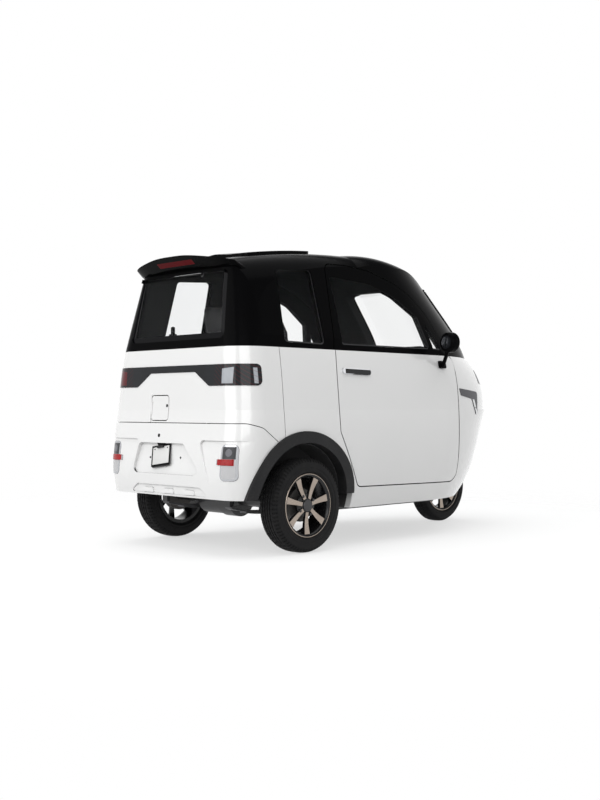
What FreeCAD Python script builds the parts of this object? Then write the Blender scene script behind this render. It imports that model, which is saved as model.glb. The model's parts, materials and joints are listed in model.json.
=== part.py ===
"""Enclosed electric tricycle: one steered front wheel, two driven rear wheels and a closed cabin.

+X is the front, +Y the left side, +Z up. The origin lies on the ground under the middle of the vehicle's box.
Places along the vehicle are given from the rear axle, and st() turns them into the part's own X.
Units are millimetres and degrees.
"""
import FreeCAD
import Part
import math
import os

V = FreeCAD.Vector

# Driving dimensions
LENGTH = 2580.0
REAR_OVERHANG = 470.0
NOSE = LENGTH - REAR_OVERHANG
WHEELBASE = 1800.0
TRACK = 1042.0
WAIST = 1060.0
SILL = 210.0
WALL = 38.0
GLASS = 4.0
GLASS_INSET = 8.0
SEAM_GAP = 4.0
DOOR_GAP = 6.0
FLAP_GAP = 5.0
SEAT_GAP = 0.3
PIN_CLEARANCE = 0.05

# Plan outlines of the white body: the nose has a lip where the lower part ends and the upper part starts
# Columns: z, half width, tail, rear corner radius, start of the nose's taper, nose
LIP_Z = 740.0
BODY_LOWER = (
    (SILL, 530, -430, 110, NOSE - 1110, NOSE - 360),
    (300, 556, 12 - REAR_OVERHANG, 135, NOSE - 1060, NOSE - 280),
    (500, 582, 4 - REAR_OVERHANG, 150, NOSE - 1010, NOSE - 160),
    (LIP_Z, 572, -440, 150, NOSE - 960, NOSE),
)
BODY_UPPER = (
    (LIP_Z, 572, -440, 150, NOSE - 960, NOSE - 38),
    (960, 550, -428, 150, NOSE - 990, NOSE - 94),
    (WAIST, 535, -420, 150, NOSE - 1060, NOSE - 230),
)
# Plan outlines of the black cabin top, above the waist
CABIN_SECTIONS = (
    (WAIST, 535, -420, 150, NOSE - 1060, NOSE - 230),
    (1230, 492, -394, 140, NOSE - 1110, NOSE - 360),
    (1380, 452, -371, 130, NOSE - 1210, NOSE - 510),
    (1520, 415, -349, 120, NOSE - 1310, NOSE - 640),
    (1700, 365, -321, 110, NOSE - 1460, NOSE - 820),
)
NOSE_TURN = 48.0

# Roof line over the middle from the rear axle, as (x, z)
ROOF_REAR = (-480.0, 1500.0)
ROOF_RISE = (60.0, 1596.0)
ROOF_TOP = (560.0, 1632.0)
ROOF_FALL = (1030.0, 1612.0)
ROOF_FRONT = (NOSE - 780.0, 1492.0)
COWL = (NOSE - 398.0, 1088.0)
HOOD_END = (NOSE - 10.0, 1000.0)
# How far the roof line drops at a distance from the middle, as (y, drop)
ROOF_ROWS = ((0.0, 0.0), (220.0, 12.0), (370.0, 50.0), (440.0, 150.0), (520.0, 330.0))
HOOD_PLATE = 26.0
HOOD_REAR = NOSE - 470.0

# Wheels
REAR_TYRE_RADIUS = 247.0
REAR_TYRE_WIDTH = 135.0
FRONT_TYRE_RADIUS = 236.0
FRONT_TYRE_WIDTH = 112.0
RIM_RADIUS = 166.0
RIM_SEAT_RADIUS = 152.0
RIM_WALL = 6.0
SPOKES = 7
SPOKE_WIDTH = 34.0
SPOKE_DEPTH = 18.0
HUB_RADIUS = 48.0
HUB_LENGTH = 44.0
REAR_BORE = 17.0
FRONT_BORE = 8.0
FACE_DEPTH = 14.0

# Rear arch, its trim and the wheel house
ARCH_X = -20.0
ARCH_OUTER = 384.0
ARCH_INNER = 324.0
TRIM_PROUD = 14.0
TRIM_WIDTH = 62.0
ARCH_FOOT_Z = 292.0
HOUSE_INNER_Y = 395.0
HOUSE_WALL = 5.0
BUMPER_BOTTOM = 290.0

# Steering
CASTER = 24.0
STEER_LIMIT = 32.0
WELL_RADIUS = 262.0
WELL_TOP = 276.0
WELL_WALL = 5.0
HEAD_BOTTOM = 330.0
HEAD_TOP = 480.0
COLUMN_RADIUS = 15.0
COLUMN_TOP = 800.0
CROWN_AT = 246.0
FORK_HALF = 78.0
FORK_RADIUS = 14.0
BAR_HALF = 290.0

# Door outline, its leading edge round the hinge, and the hinges
DOOR_OUTLINE = (
    (250.0, 1536.0, 40.0), (246.0, 900.0, 0.0), (254.0, 625.0, 60.0), (402.0, 326.0, 34.0), (1300.0, 314.0, 80.0),
    (1330.0, 800.0, 0.0), (1330.0, 1010.0, 20.0), (1250.0, 1062.0, 20.0), (1118.0, 1290.0, 200.0),
    (1000.0, 1396.0, 200.0), (850.0, 1468.0, 200.0), (640.0, 1524.0, 200.0), (430.0, 1540.0, 0.0),
)
DOOR_DRAFT = 0.30
HINGE_X = 1256.0
HINGE_Y = 546.0
HINGE_EDGE = 38.0
HINGE_HEIGHTS = (440.0, 760.0)
HINGE_PIN = 5.0
HINGE_LENGTH = 46.0
HINGE_LUG = 10.0
DOOR_SWING = 65.0

# Panes as (x, z, corner radius) on the sides and (y, z, corner radius) at the ends
DOOR_WINDOW = (
    (318.0, 1092.0, 16.0), (1066.0, 1094.0, 14.0), (1003.0, 1284.0, 26.0), (830.0, 1388.0, 200.0),
    (630.0, 1450.0, 200.0), (308.0, 1466.0, 20.0),
)
VENT_WINDOW = ((1100.0, 1096.0, 8.0), (1196.0, 1090.0, 12.0), (1046.0, 1276.0, 10.0))
QUARTER_WINDOW = ((-118.0, 1090.0, 26.0), (180.0, 1086.0, 26.0), (174.0, 1490.0, 22.0), (-88.0, 1472.0, 26.0))
REAR_PANE = ((-392.0, 1104.0, 34.0), (392.0, 1104.0, 34.0), (352.0, 1450.0, 24.0), (-352.0, 1450.0, 24.0))
SCREEN_PANE = ((-352.0, 1102.0, 40.0), (352.0, 1102.0, 40.0), (292.0, 1488.0, 50.0), (-292.0, 1488.0, 50.0))

# Seams
REAR_SEAM_X = -168.0
SILL_SEAM_X = 330.0
BUMPER_SEAM = (
    (-600.0, 100.0, 0.0), (-600.0, 670.0, 0.0), (-395.0, 670.0, 60.0), (-318.0, 648.0, 60.0), (-239.0, 592.0, 0.0),
    (-150.0, 529.0, 0.0), (-150.0, 100.0, 0.0),
)

# Tail lamp band as (y, z, corner radius), upper edge first
BAND_TOP = 970.0
BAND_THIN = 935.0
LAMP_BOTTOM = 862.0
LAMP_FRONT_X = -305.0
BAND_DEPTH = 14.0
LAMP_PROUD = 3.0
LOWER_LAMP = (424.0, 524.0, 388.0, 568.0)
LOWER_LAMP_DEPTH = 22.0
LAMP_BAR = (398.0, 502.0, 466.0, 494.0)
LAMP_BAR_PROUD = 6.0
LAMP_BAR_DEPTH = 5.0
NICHE = ((252.0, 586.0, 20.0), (660.0, 586.0, 0.0), (660.0, 330.0, 0.0), (357.0, 330.0, 20.0))
NICHE_PIVOT = (-456.0, 345.0, 360.0)
NICHE_LEAN = 3.0
NICHE_TURN = 1.5

# Recess for the number plate as (y, z, corner radius), and its floor as (x, z) at the foot and the top
RECESS = ((-125.0, 566.0, 24.0), (250.0, 566.0, 24.0), (300.0, 404.0, 30.0), (-285.0, 404.0, 30.0))
RECESS_FOOT = (-460.0, 395.0)
RECESS_TOP = (-437.0, 575.0)

# Charge flap: its middle, its size and its swing
FLAP_Y = 96.0
FLAP_Z = 750.0
FLAP_HALF = 72.0
FLAP_HALF_HEIGHT = 64.0
FLAP_THICK = 10.0
FLAP_SWING = 90.0
FLAP_PIN = 2.0
FLAP_PIN_OUT = 1.0

# Number plate
PLATE_Y = 64.0
PLATE_Z = 490.0
PLATE_WIDTH = 138.0
PLATE_HEIGHT = 100.0
PLATE_THICK = 6.0
PLATE_TILT = 8.0
PLATE_LEAN = 11.0
PLATE_FACE_X = -458.5

# Roof pieces
# Columns of the spoiler: y, lip x, lip z, height of the sloping rear face, z of the root
SPOILER_ROWS = (
    (0.0, -452.0, 1543.0, 56.0, 1537.0),
    (150.0, -446.0, 1538.0, 54.0, 1527.0),
    (280.0, -424.0, 1522.0, 46.0, 1520.0),
    (360.0, -394.0, 1510.0, 36.0, 1493.0),
    (402.0, -352.0, 1500.0, 24.0, 1454.0),
)
SPOILER_FACE_SLOPE = 1.14
SPOILER_ROOT_X = -255.0
BRAKE_LAMP = (146.0, 1497.0, 1519.0)
BRAKE_LAMP_DEPTH = 14.0
SUNROOF = (-140.0, 370.0, 245.0)
SUNROOF_RISE = 18.0

# Rear axle, leaf springs, frame and floor
BEAM_RADIUS = 30.0
SPRING_HALF = 270.0
SPRING_RISE = 30.0
SPRING_SEAT = 12.0
LEAF = 9.0
LEAF_WIDTH = 50.0
RAIL_Y = 262.0
RAIL_WIDTH = 40.0
RAIL_HEIGHT = 38.0
STRUT_RADIUS = 16.0
BEAM_TRAVEL = 30.0
FLOOR_Z = 210.0
REAR_FLOOR_Z = 384.0
FLOOR = 7.0
STEP_X = 372.0
FRAME_REAR = -400.0
FRAME_FRONT = 1400.0
HEAD_RADIUS = 24.0
BATTERY_REAR = 600.0
BATTERY_FRONT = 1060.0
BATTERY_HALF = 205.0
BATTERY_TOP = 400.0

# Seats as (x, height over the seat's base, corner radius), and the dash
FRONT_SEAT_HALF = 215.0
REAR_SEAT_HALF = 296.0
BOLSTER = 62.0
FRONT_SEAT = (
    (600.0, 0.0, 20.0), (1080.0, 0.0, 20.0), (1160.0, 100.0, 40.0), (1130.0, 176.0, 30.0), (960.0, 196.0, 60.0),
    (900.0, 380.0, 120.0), (800.0, 590.0, 60.0), (690.0, 690.0, 40.0), (590.0, 690.0, 40.0), (560.0, 360.0, 200.0),
)
FRONT_HOLLOW = ((672.0, 610.0, 30.0), (1300.0, 610.0, 0.0), (1300.0, 150.0, 0.0), (820.0, 140.0, 60.0))
REAR_SEAT = (
    (60.0, 0.0, 20.0), (380.0, 0.0, 20.0), (470.0, 90.0, 40.0), (460.0, 196.0, 40.0), (280.0, 220.0, 50.0),
    (246.0, 540.0, 120.0), (196.0, 790.0, 60.0), (118.0, 960.0, 40.0), (-20.0, 960.0, 40.0), (34.0, 500.0, 300.0),
)
REAR_HOLLOW = ((70.0, 880.0, 30.0), (700.0, 880.0, 0.0), (700.0, 160.0, 0.0), (150.0, 150.0, 50.0))
DASH_REAR = NOSE - 520.0
DASH_BOTTOM = 890.0
# The instrument visor's side view from the dash's rear edge and the waist
VISOR = ((0.0, -3.0, 0.0), (32.0, -3.0, 0.0), (32.0, 38.0, 10.0), (8.0, 78.0, 12.0), (-120.0, 86.0, 8.0),
         (-122.0, 62.0, 8.0))
VISOR_HALF = 115.0

FAR = 4000.0


def st(x):
    """Distance ahead of the rear axle to the part's X."""
    return x - LENGTH / 2 + REAR_OVERHANG


def front_axle():
    return V(st(WHEELBASE), 0, FRONT_TYRE_RADIUS)


def along_steer(s, y=0.0, ahead=0.0):
    """A point s above the front axle along the steering axis, and ahead of that axis in the middle plane."""
    a = math.radians(CASTER)
    p = front_axle() + V(-math.sin(a), 0, math.cos(a)) * s + V(math.cos(a), 0, math.sin(a)) * ahead
    return V(p.x, y, p.z)


def plan_outline(z, half_width, tail, corner, taper_start, nose, inset=0.0):
    """A closed plan outline: flat tail, round corners, straight sides and a nose of three tangent arcs."""
    w = half_width - inset
    xt = st(tail) + inset
    rc = corner - inset
    xs = st(taper_start)
    xn = st(nose) - inset
    a = math.radians(NOSE_TURN)
    k = (1 - math.sin(a)) / math.cos(a)
    r = (xn - xs - w * k) / (math.sin(a) - (1 - math.cos(a)) * k)
    end = (xs + r * math.sin(a), w - r * (1 - math.cos(a)))
    mid = (xs + r * math.sin(a / 2), w - r * (1 - math.cos(a / 2)))
    d = rc * (1 - math.sqrt(0.5))

    def flank(s):
        corner_arc = Part.Arc(V(xt, s * (w - rc), z), V(xt + d, s * (w - d), z), V(xt + rc, s * w, z))
        straight = Part.LineSegment(V(xt + rc, s * w, z), V(xs, s * w, z))
        bend = Part.Arc(V(xs, s * w, z), V(mid[0], s * mid[1], z), V(end[0], s * end[1], z))
        return [corner_arc.toShape(), straight.toShape(), bend.toShape()]

    tail_line = Part.LineSegment(V(xt, rc - w, z), V(xt, w - rc, z)).toShape()
    tip = Part.Arc(V(end[0], end[1], z), V(xn, 0, z), V(end[0], -end[1], z)).toShape()
    return Part.Wire([tail_line] + flank(1) + [tip] + flank(-1)[::-1])


def lofted(sections, inset=0.0):
    return Part.makeLoft([plan_outline(*row, inset=inset) for row in sections], True, False)


def core(sections, inset):
    """The hollow inside a loft: the same sections shrunk by inset, run on downwards past the lowest one."""
    foot = Part.Face(plan_outline(*sections[0], inset=inset)).extrude(V(0, 0, -60))
    return lofted(sections, inset).fuse(foot)


def body_solid(inset=0.0):
    """The white body's outside, or the same shrunk by inset, from the sill to the waist."""
    return lofted(BODY_LOWER, inset).fuse(lofted(BODY_UPPER, inset))


def leaned_body(inset=0.0):
    """The white body leaned forwards and turned outwards, whose skin is the floor of the left lower lamp's niche."""
    shape = body_solid(inset)
    pivot = V(st(NICHE_PIVOT[0]), NICHE_PIVOT[1], NICHE_PIVOT[2])
    shape.rotate(pivot, V(0, 1, 0), NICHE_LEAN)
    shape.rotate(pivot, V(0, 0, 1), NICHE_TURN)
    return shape


def roof_profile(y, lower):
    """The side view of everything under the roof, for one distance from the middle."""
    def at(p):
        return V(st(p[0]), y, p[1] - lower)
    rear, rise, top, fall, front = (at(p) for p in (ROOF_REAR, ROOF_RISE, ROOF_TOP, ROOF_FALL, ROOF_FRONT))
    cowl, toe = at(COWL), at(HOOD_END)
    foot = 500.0
    corners = [toe, V(toe.x, y, foot), V(rear.x, y, foot), rear]
    edges = [Part.Arc(rear, rise, top).toShape(), Part.Arc(top, fall, front).toShape()]
    edges += [Part.LineSegment(front, cowl).toShape(), Part.LineSegment(cowl, toe).toShape()]
    edges += [Part.LineSegment(a, b).toShape() for a, b in zip(corners, corners[1:])]
    return Part.Wire(edges)


def under_roof(inset=0.0):
    """Everything below the roof's skin: long side profiles, lower towards the sides, lofted across."""
    rows = [(-y, drop) for y, drop in ROOF_ROWS[:0:-1]] + list(ROOF_ROWS)
    return Part.makeLoft([roof_profile(y, drop + inset) for y, drop in rows], True, False)


def cabin_solid(inset=0.0):
    """The black cabin top's outside, or the same shrunk by inset."""
    return lofted(CABIN_SECTIONS, inset).common(under_roof(inset))


def slab(x0, x1, y0, y1, z0, z1):
    return Part.makeBox(x1 - x0, y1 - y0, z1 - z0, V(x0, y0, z0))


def above(z):
    return slab(-FAR, FAR, -FAR, FAR, z, FAR)


def rod(radius, start, end):
    d = end - start
    return Part.makeCylinder(radius, d.Length, start, d)


def tube_path(radius, points):
    """A bent tube: straight runs with a ball at each bend."""
    shape = rod(radius, points[0], points[1])
    for a, b in zip(points[1:], points[2:]):
        shape = shape.fuse([Part.makeSphere(radius, a), rod(radius, a, b)])
    return shape


def rounded(corners):
    """A closed wire in the XZ plane through (x, z, radius) corners."""
    n = len(corners)
    joins = []
    for i, (x, z, r) in enumerate(corners):
        p = V(x, 0, z)
        u = (V(corners[i - 1][0], 0, corners[i - 1][1]) - p).normalize()
        w = (V(corners[(i + 1) % n][0], 0, corners[(i + 1) % n][1]) - p).normalize()
        if r:
            half = u.getAngle(w) / 2
            reach = r / math.tan(half)
            joins.append((p + u * reach, p + (u + w).normalize() * (r / math.sin(half) - r), p + w * reach))
        else:
            joins.append((p, p, p))
    edges = []
    for i, (start, mid, end) in enumerate(joins):
        if (end - start).Length > 1e-6:
            edges.append(Part.Arc(start, mid, end).toShape())
        nxt = joins[(i + 1) % n][0]
        if (nxt - end).Length > 1e-6:
            edges.append(Part.LineSegment(end, nxt).toShape())
    return Part.Wire(edges)


def grown(corners, by):
    """A closed outline moved outwards by a distance, with its round corners."""
    n = len(corners)
    area = sum(corners[i - 1][0] * corners[i][1] - corners[i][0] * corners[i - 1][1] for i in range(n))
    sign = by if area > 0 else -by
    out = []
    for i, (x, z, r) in enumerate(corners):
        a, b = corners[i - 1], corners[(i + 1) % n]
        before = V(x - a[0], z - a[1], 0).normalize()
        after = V(b[0] - x, b[1] - z, 0).normalize()
        n1, n2 = V(before.y, -before.x, 0), V(after.y, -after.x, 0)
        m = (n1 + n2) * (sign / (1 + n1.dot(n2)))
        turn_out = before.x * after.y - before.y * after.x
        grow = by if turn_out * (1 if area > 0 else -1) > 0 else -by
        out.append((x + m.x, z + m.y, r + grow if r else 0.0))
    return out


def shifted(corners):
    """Corners given from the rear axle, moved to the part's own X."""
    return [(st(x), z, r) for x, z, r in corners]


def side_prism(corners, side, inner=250.0, outer=750.0):
    """An outline seen from the side as a prism through that side's wall."""
    face = Part.Face(rounded(shifted(corners)))
    face.translate(V(0, side * inner, 0))
    return face.extrude(V(0, side * (outer - inner), 0))


def across(corners):
    """An outline seen from the side as a prism right through the vehicle."""
    return side_prism(corners, 1, -FAR / 4, FAR / 4)


def end_prism(corners, x0, x1):
    """An outline of (y, z, radius) corners as a prism along X between two places from the rear axle."""
    face = Part.Face(rounded(corners))
    face.rotate(V(0, 0, 0), V(0, 0, 1), 90)
    face.translate(V(st(x0), 0, 0))
    return face.extrude(V(x1 - x0, 0, 0))


def mirrored(shape):
    return shape.mirror(V(0, 0, 0), V(0, 1, 0))


def pair(shape):
    """A left piece and its right copy in one node."""
    return Part.makeCompound([shape, mirrored(shape)])


def solids_of(shape, least=1500.0):
    """The real pieces of a cut, without slivers."""
    keep = [s for s in shape.Solids if s.Volume > least]
    return keep[0] if len(keep) == 1 else Part.makeCompound(keep)


def door_block(gap=0.0):
    """What the left door takes out of the wall, or its opening with the gap round it.

    The rear edge leans, so that the inner corner comes out past the pillar. The front edge is round the hinge.
    """
    corners = grown(DOOR_OUTLINE, gap) if gap else DOOR_OUTLINE
    rear = min(x for x, z, r in DOOR_OUTLINE)
    front = max(x for x, z, r in DOOR_OUTLINE)
    middle = (rear + front) / 2
    outer_y, inner_y = 640.0, 340.0
    lead = DOOR_DRAFT * (outer_y - inner_y)

    def wire(y, shift):
        lean = [(x + shift * max(0.0, (middle - x) / (middle - rear)), z, r) for x, z, r in corners]
        w = rounded(shifted(lean))
        w.translate(V(0, y, 0))
        return w
    block = Part.makeLoft([wire(outer_y, -lead * 0.3), wire(inner_y, lead * 0.7)], True, True)
    pillar = rod(HINGE_EDGE + gap, V(st(HINGE_X), HINGE_Y, 0), V(st(HINGE_X), HINGE_Y, 1300))
    return block.common(slab(-FAR, st(HINGE_X) + gap, 0, FAR, 0, FAR).fuse(pillar))


def well_block(radius, top, bottom=-400.0):
    """The front wheel's space, round the steering axis."""
    return rod(radius, along_steer(bottom), along_steer(top))


def arch_block(radius, inner, outer):
    """The left rear wheel's space: round above the axle and open below."""
    centre = V(st(ARCH_X), inner, REAR_TYRE_RADIUS)
    dome = rod(radius, centre, V(centre.x, outer, centre.z))
    return dome.fuse(slab(centre.x - radius, centre.x + radius, inner, outer, 0, centre.z))


def layer(solid, proud, depth, region):
    """A skin piece that follows the solid's surface: proud of it by one distance and sunk by another."""
    return solid(-proud).cut(solid(depth)).common(region)


def tyre(radius, width):
    """A tyre's section turned round the axle: beads, bulged side walls, shoulders and a crowned tread."""
    h = width / 2
    bead = RIM_SEAT_RADIUS + SEAT_GAP
    over = RIM_RADIUS + SEAT_GAP
    lip = h - FACE_DEPTH
    shoulder, tread = radius - 17, radius - 3

    def p(r, y):
        return V(r, y, 0)
    points = [p(bead, -lip), p(over, -lip), p(over + 8, -h + 4), p(shoulder, -h + 8), p(tread, -h + 26)]
    far = [p(q.x, -q.y) for q in points[::-1]]
    edges = [
        Part.LineSegment(points[0], points[1]), Part.LineSegment(points[1], points[2]),
        Part.Arc(points[2], p((over + shoulder) / 2 + 4, -h), points[3]), Part.LineSegment(points[3], points[4]),
        Part.Arc(points[4], p(radius, 0), far[0]), Part.LineSegment(far[0], far[1]),
        Part.Arc(far[1], p((over + shoulder) / 2 + 4, h), far[2]), Part.LineSegment(far[2], far[3]),
        Part.LineSegment(far[3], far[4]), Part.LineSegment(far[4], points[0]),
    ]
    face = Part.Face(Part.Wire([e.toShape() for e in edges]))
    return face.revolve(V(0, 0, 0), V(0, 1, 0), 360)


def rim(width, face_side, bore):
    """A cast wheel: barrel with two lips, tapered spokes near its outer face and a bored hub."""
    lip = width / 2 - FACE_DEPTH
    inner = RIM_SEAT_RADIUS - RIM_WALL
    section = [(inner, -lip - 6), (RIM_RADIUS, -lip - 6), (RIM_RADIUS, -lip - 0.3), (RIM_SEAT_RADIUS, -lip - 0.3),
               (RIM_SEAT_RADIUS, lip + 0.3), (RIM_RADIUS, lip + 0.3), (RIM_RADIUS, lip + 6), (inner, lip + 6)]
    corners = [V(r, y, 0) for r, y in section]
    barrel = Part.Face(Part.makePolygon(corners + corners[:1])).revolve(V(0, 0, 0), V(0, 1, 0), 360)
    face_y = face_side * (lip - 4)
    back_y = face_y - face_side * HUB_LENGTH
    wheel = barrel.fuse(rod(HUB_RADIUS, V(0, back_y, 0), V(0, face_y + face_side * 4, 0)))
    root, tip = HUB_RADIUS - 14, inner + RIM_WALL / 2
    spokes = []
    for i in range(SPOKES):
        outline = [V(root, face_y, -SPOKE_WIDTH * 0.36), V(tip, face_y, -SPOKE_WIDTH * 0.58),
                   V(tip, face_y, SPOKE_WIDTH * 0.58), V(root, face_y, SPOKE_WIDTH * 0.36)]
        spoke = Part.Face(Part.makePolygon(outline + outline[:1])).extrude(V(0, -face_side * SPOKE_DEPTH, 0))
        spoke.rotate(V(0, 0, 0), V(0, 1, 0), 360.0 * i / SPOKES + 90)
        spokes.append(spoke)
    return wheel.fuse(spokes).cut(rod(bore, V(0, -width, 0), V(0, width, 0)))


def wheel(radius, width, face_side, bore, place):
    pieces = tyre(radius, width), rim(width, face_side, bore)
    for piece in pieces:
        piece.translate(place)
    return pieces


def hinge_lugs():
    """Two gooseneck lugs with pins for the left door: from the door post inwards and out to the pin."""
    x, lugs = st(HINGE_X), []
    for z in HINGE_HEIGHTS:
        arm = slab(x - 7, x + 7, HINGE_Y - 52, HINGE_Y, z - HINGE_LUG / 2, z + HINGE_LUG / 2)
        foot = slab(x - 7, x + 62, HINGE_Y - 66, HINGE_Y - 48, z - HINGE_LUG, z + HINGE_LUG)
        post = slab(x + 48, x + 62, HINGE_Y - 66, HINGE_Y - 4, z - HINGE_LUG, z + HINGE_LUG)
        eye = rod(HINGE_PIN + 5, V(x, HINGE_Y, z - HINGE_LUG / 2), V(x, HINGE_Y, z + HINGE_LUG / 2))
        pin = rod(HINGE_PIN, V(x, HINGE_Y, z - HINGE_LENGTH / 2), V(x, HINGE_Y, z + HINGE_LENGTH / 2))
        lugs.append(arm.fuse([foot, post, eye, pin]))
    return lugs


def hinge_cuts():
    """Room for the lugs in the left door, and the bores for the pins."""
    x, cuts = st(HINGE_X), []
    room = HINGE_LUG / 2 + 5
    for z in HINGE_HEIGHTS:
        notch = rod(HINGE_PIN + 10.5, V(x, HINGE_Y, z - room), V(x, HINGE_Y, z + room))
        sweep = slab(x - 14, x + 70, HINGE_Y - 80, HINGE_Y + 6, z - room, z + room)
        bore = rod(HINGE_PIN + PIN_CLEARANCE, V(x, HINGE_Y, z - HINGE_LENGTH / 2 - 1),
                   V(x, HINGE_Y, z + HINGE_LENGTH / 2 + 1))
        cuts.append(notch.fuse([sweep, bore]))
    return cuts


def lamp_band_outline():
    """The tail band in (y, z): thin in the middle, with a slope down to each tall lamp."""
    left = [(FAR / 4, BAND_TOP, 0.0), (FAR / 4, LAMP_BOTTOM, 0.0), (300.0, LAMP_BOTTOM, 24.0),
            (186.0, BAND_THIN, 24.0)]
    right = [(-y, z, r) for y, z, r in left[::-1]]
    return left + right


def lamp_ends(by=0.0):
    """The rounded ends of the tall lamps on the sides, as a prism right through the body."""
    end = [(-600.0, BAND_TOP, 0.0), (-600.0, LAMP_BOTTOM, 0.0), (LAMP_FRONT_X, LAMP_BOTTOM, 30.0),
           (LAMP_FRONT_X, BAND_TOP, 24.0)]
    return across(grown(end, by) if by else end)


def rounded_box(y0, y1, z0, z1, r):
    return [(y0, z0, r), (y1, z0, r), (y1, z1, r), (y0, z1, r)]


def body_panels():
    """The white body: one hollow wall, cut at its openings and split along its seams."""
    outside = body_solid()
    shell = outside.cut([core(BODY_LOWER, WALL), lofted(BODY_UPPER, WALL)])
    hood = outside.common(slab(st(HOOD_REAR), FAR, -FAR, FAR, WAIST - HOOD_PLATE, FAR))
    shell = shell.fuse(hood)
    arch = arch_block(ARCH_OUTER, HOUSE_INNER_Y, 700)
    shell = shell.cut([well_block(WELL_RADIUS, WELL_TOP), arch, mirrored(arch)])
    door, hole = door_block(), door_block(DOOR_GAP)
    framed = shell.cut([hole, mirrored(hole)])
    lugs = hinge_lugs()
    lugs += [mirrored(lug) for lug in lugs]
    g = SEAM_GAP / 2
    rear = framed.common(slab(-FAR, st(REAR_SEAM_X) - g, -FAR, FAR, 0, FAR))
    mid = framed.common(slab(st(REAR_SEAM_X) + g, st(SILL_SEAM_X) - g, -FAR, FAR, 0, FAR))
    door_skin = solids_of(shell.common(door)).cut(hinge_cuts())
    nodes = {
        "tail_panel": solids_of(rear.cut(across(grown(BUMPER_SEAM, SEAM_GAP)))),
        "rear_bumper": solids_of(rear.common(across(BUMPER_SEAM)).common(above(BUMPER_BOTTOM))),
        "quarter_panel_left": solids_of(mid.common(slab(-FAR, FAR, 0, FAR, 0, FAR))),
        "front_body": framed.common(slab(st(SILL_SEAM_X) + g, FAR, -FAR, FAR, 0, FAR)).fuse(lugs),
        "door_left": solids_of(door_skin),
    }
    nodes["quarter_panel_right"] = mirrored(nodes["quarter_panel_left"])
    nodes["door_right"] = mirrored(nodes["door_left"])
    return nodes


def add_tail_lamps(nodes):
    """The lamp band in its recess in the tail panel, and the two lower lamps in the bumper."""
    back = slab(-FAR, st(LAMP_FRONT_X + 40), -FAR, FAR, 0, FAR)
    outline = lamp_band_outline()
    band = end_prism(outline, -600.0, 0.0).common(lamp_ends()).common(back)
    nodes["tail_lamp_band"] = solids_of(layer(body_solid, LAMP_PROUD, BAND_DEPTH, band))
    room = end_prism(grown(outline, 1.0), -600.0, 0.0).common(lamp_ends(1.0)).cut(body_solid(BAND_DEPTH + SEAT_GAP))
    nodes["tail_panel"] = nodes["tail_panel"].cut(room)
    niche = end_prism(NICHE, -600.0, -280.0).cut(leaned_body())
    box, bar = rounded_box(*LOWER_LAMP, 26.0), rounded_box(*LAMP_BAR, 4.0)
    lens = layer(leaned_body, 1.5, LOWER_LAMP_DEPTH, end_prism(box, -600.0, -280.0))
    strip = layer(leaned_body, LAMP_BAR_PROUD, LAMP_BAR_DEPTH, end_prism(bar, -600.0, -280.0))
    pocket = end_prism(grown(box, 1.0), -600.0, -280.0).cut(leaned_body(LOWER_LAMP_DEPTH + SEAT_GAP))
    notch = end_prism(grown(bar, 0.5), -600.0, -280.0).cut(leaned_body(LAMP_BAR_DEPTH + SEAT_GAP))
    nodes["lower_lamps"] = pair(solids_of(lens.fuse(strip)))
    cuts = [niche, pocket, notch]
    nodes["rear_bumper"] = nodes["rear_bumper"].cut(cuts + [mirrored(cut) for cut in cuts])


def recess_room(gap=0.0):
    """The wedge of room behind the recess floor's plane, deeper at the top."""
    foot, top = RECESS_FOOT, RECESS_TOP
    return across([(-600.0, foot[1], 0.0), (foot[0] - gap, foot[1], 0.0), (top[0] - gap, top[1], 0.0),
                   (-600.0, top[1], 0.0)])


def add_plate(nodes):
    """The leaning recess in the bumper, the step below it and the plate on its bracket."""
    recess = end_prism(RECESS, -600.0, -300.0).common(recess_room())
    step = [(-262.0, 346.0, 14.0), (262.0, 346.0, 14.0), (330.0, 300.0, 10.0), (-330.0, 300.0, 10.0)]
    bumper = nodes["rear_bumper"].cut([recess, end_prism(step, -600.0, 16.0 - REAR_OVERHANG)])
    pads = []
    for y in (-170.0, 0.0, 170.0):
        pad = end_prism([(y - 46, 304.0, 4.0), (y + 46, 304.0, 4.0), (y + 38, 328.0, 4.0), (y - 38, 328.0, 4.0)],
                        8.0 - REAR_OVERHANG, 30.0 - REAR_OVERHANG)
        pads.append(pad)
    nodes["rear_bumper"] = solids_of(bumper.fuse(pads))
    half, rise = PLATE_WIDTH / 2, PLATE_HEIGHT / 2
    plate = slab(0, PLATE_THICK, -half, half, -rise, rise)
    bracket = slab(PLATE_THICK, 70, 10 - half, half - 34, 8 - rise, rise - 6)
    lamp = slab(-10, 40, -26, 26, rise, rise + 12).fuse(slab(PLATE_THICK, 40, -26, 26, rise - 12, rise))
    whole = plate.fuse([bracket, lamp])
    whole.rotate(V(0, 0, 0), V(1, 0, 0), -PLATE_TILT)
    whole.rotate(V(0, 0, 0), V(0, 1, 0), PLATE_LEAN)
    whole.translate(V(st(PLATE_FACE_X), PLATE_Y, PLATE_Z))
    nodes["number_plate"] = solids_of(whole.common(recess_room(SEAT_GAP)))


def tail_at(z):
    """Where the tail's surface lies at a height, in the part's own X, a little out from the middle."""
    line = Part.makeLine(V(st(-REAR_OVERHANG) - 50, FLAP_Y, z), V(st(0), FLAP_Y, z))
    return line.common(body_solid()).BoundBox.XMin


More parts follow.
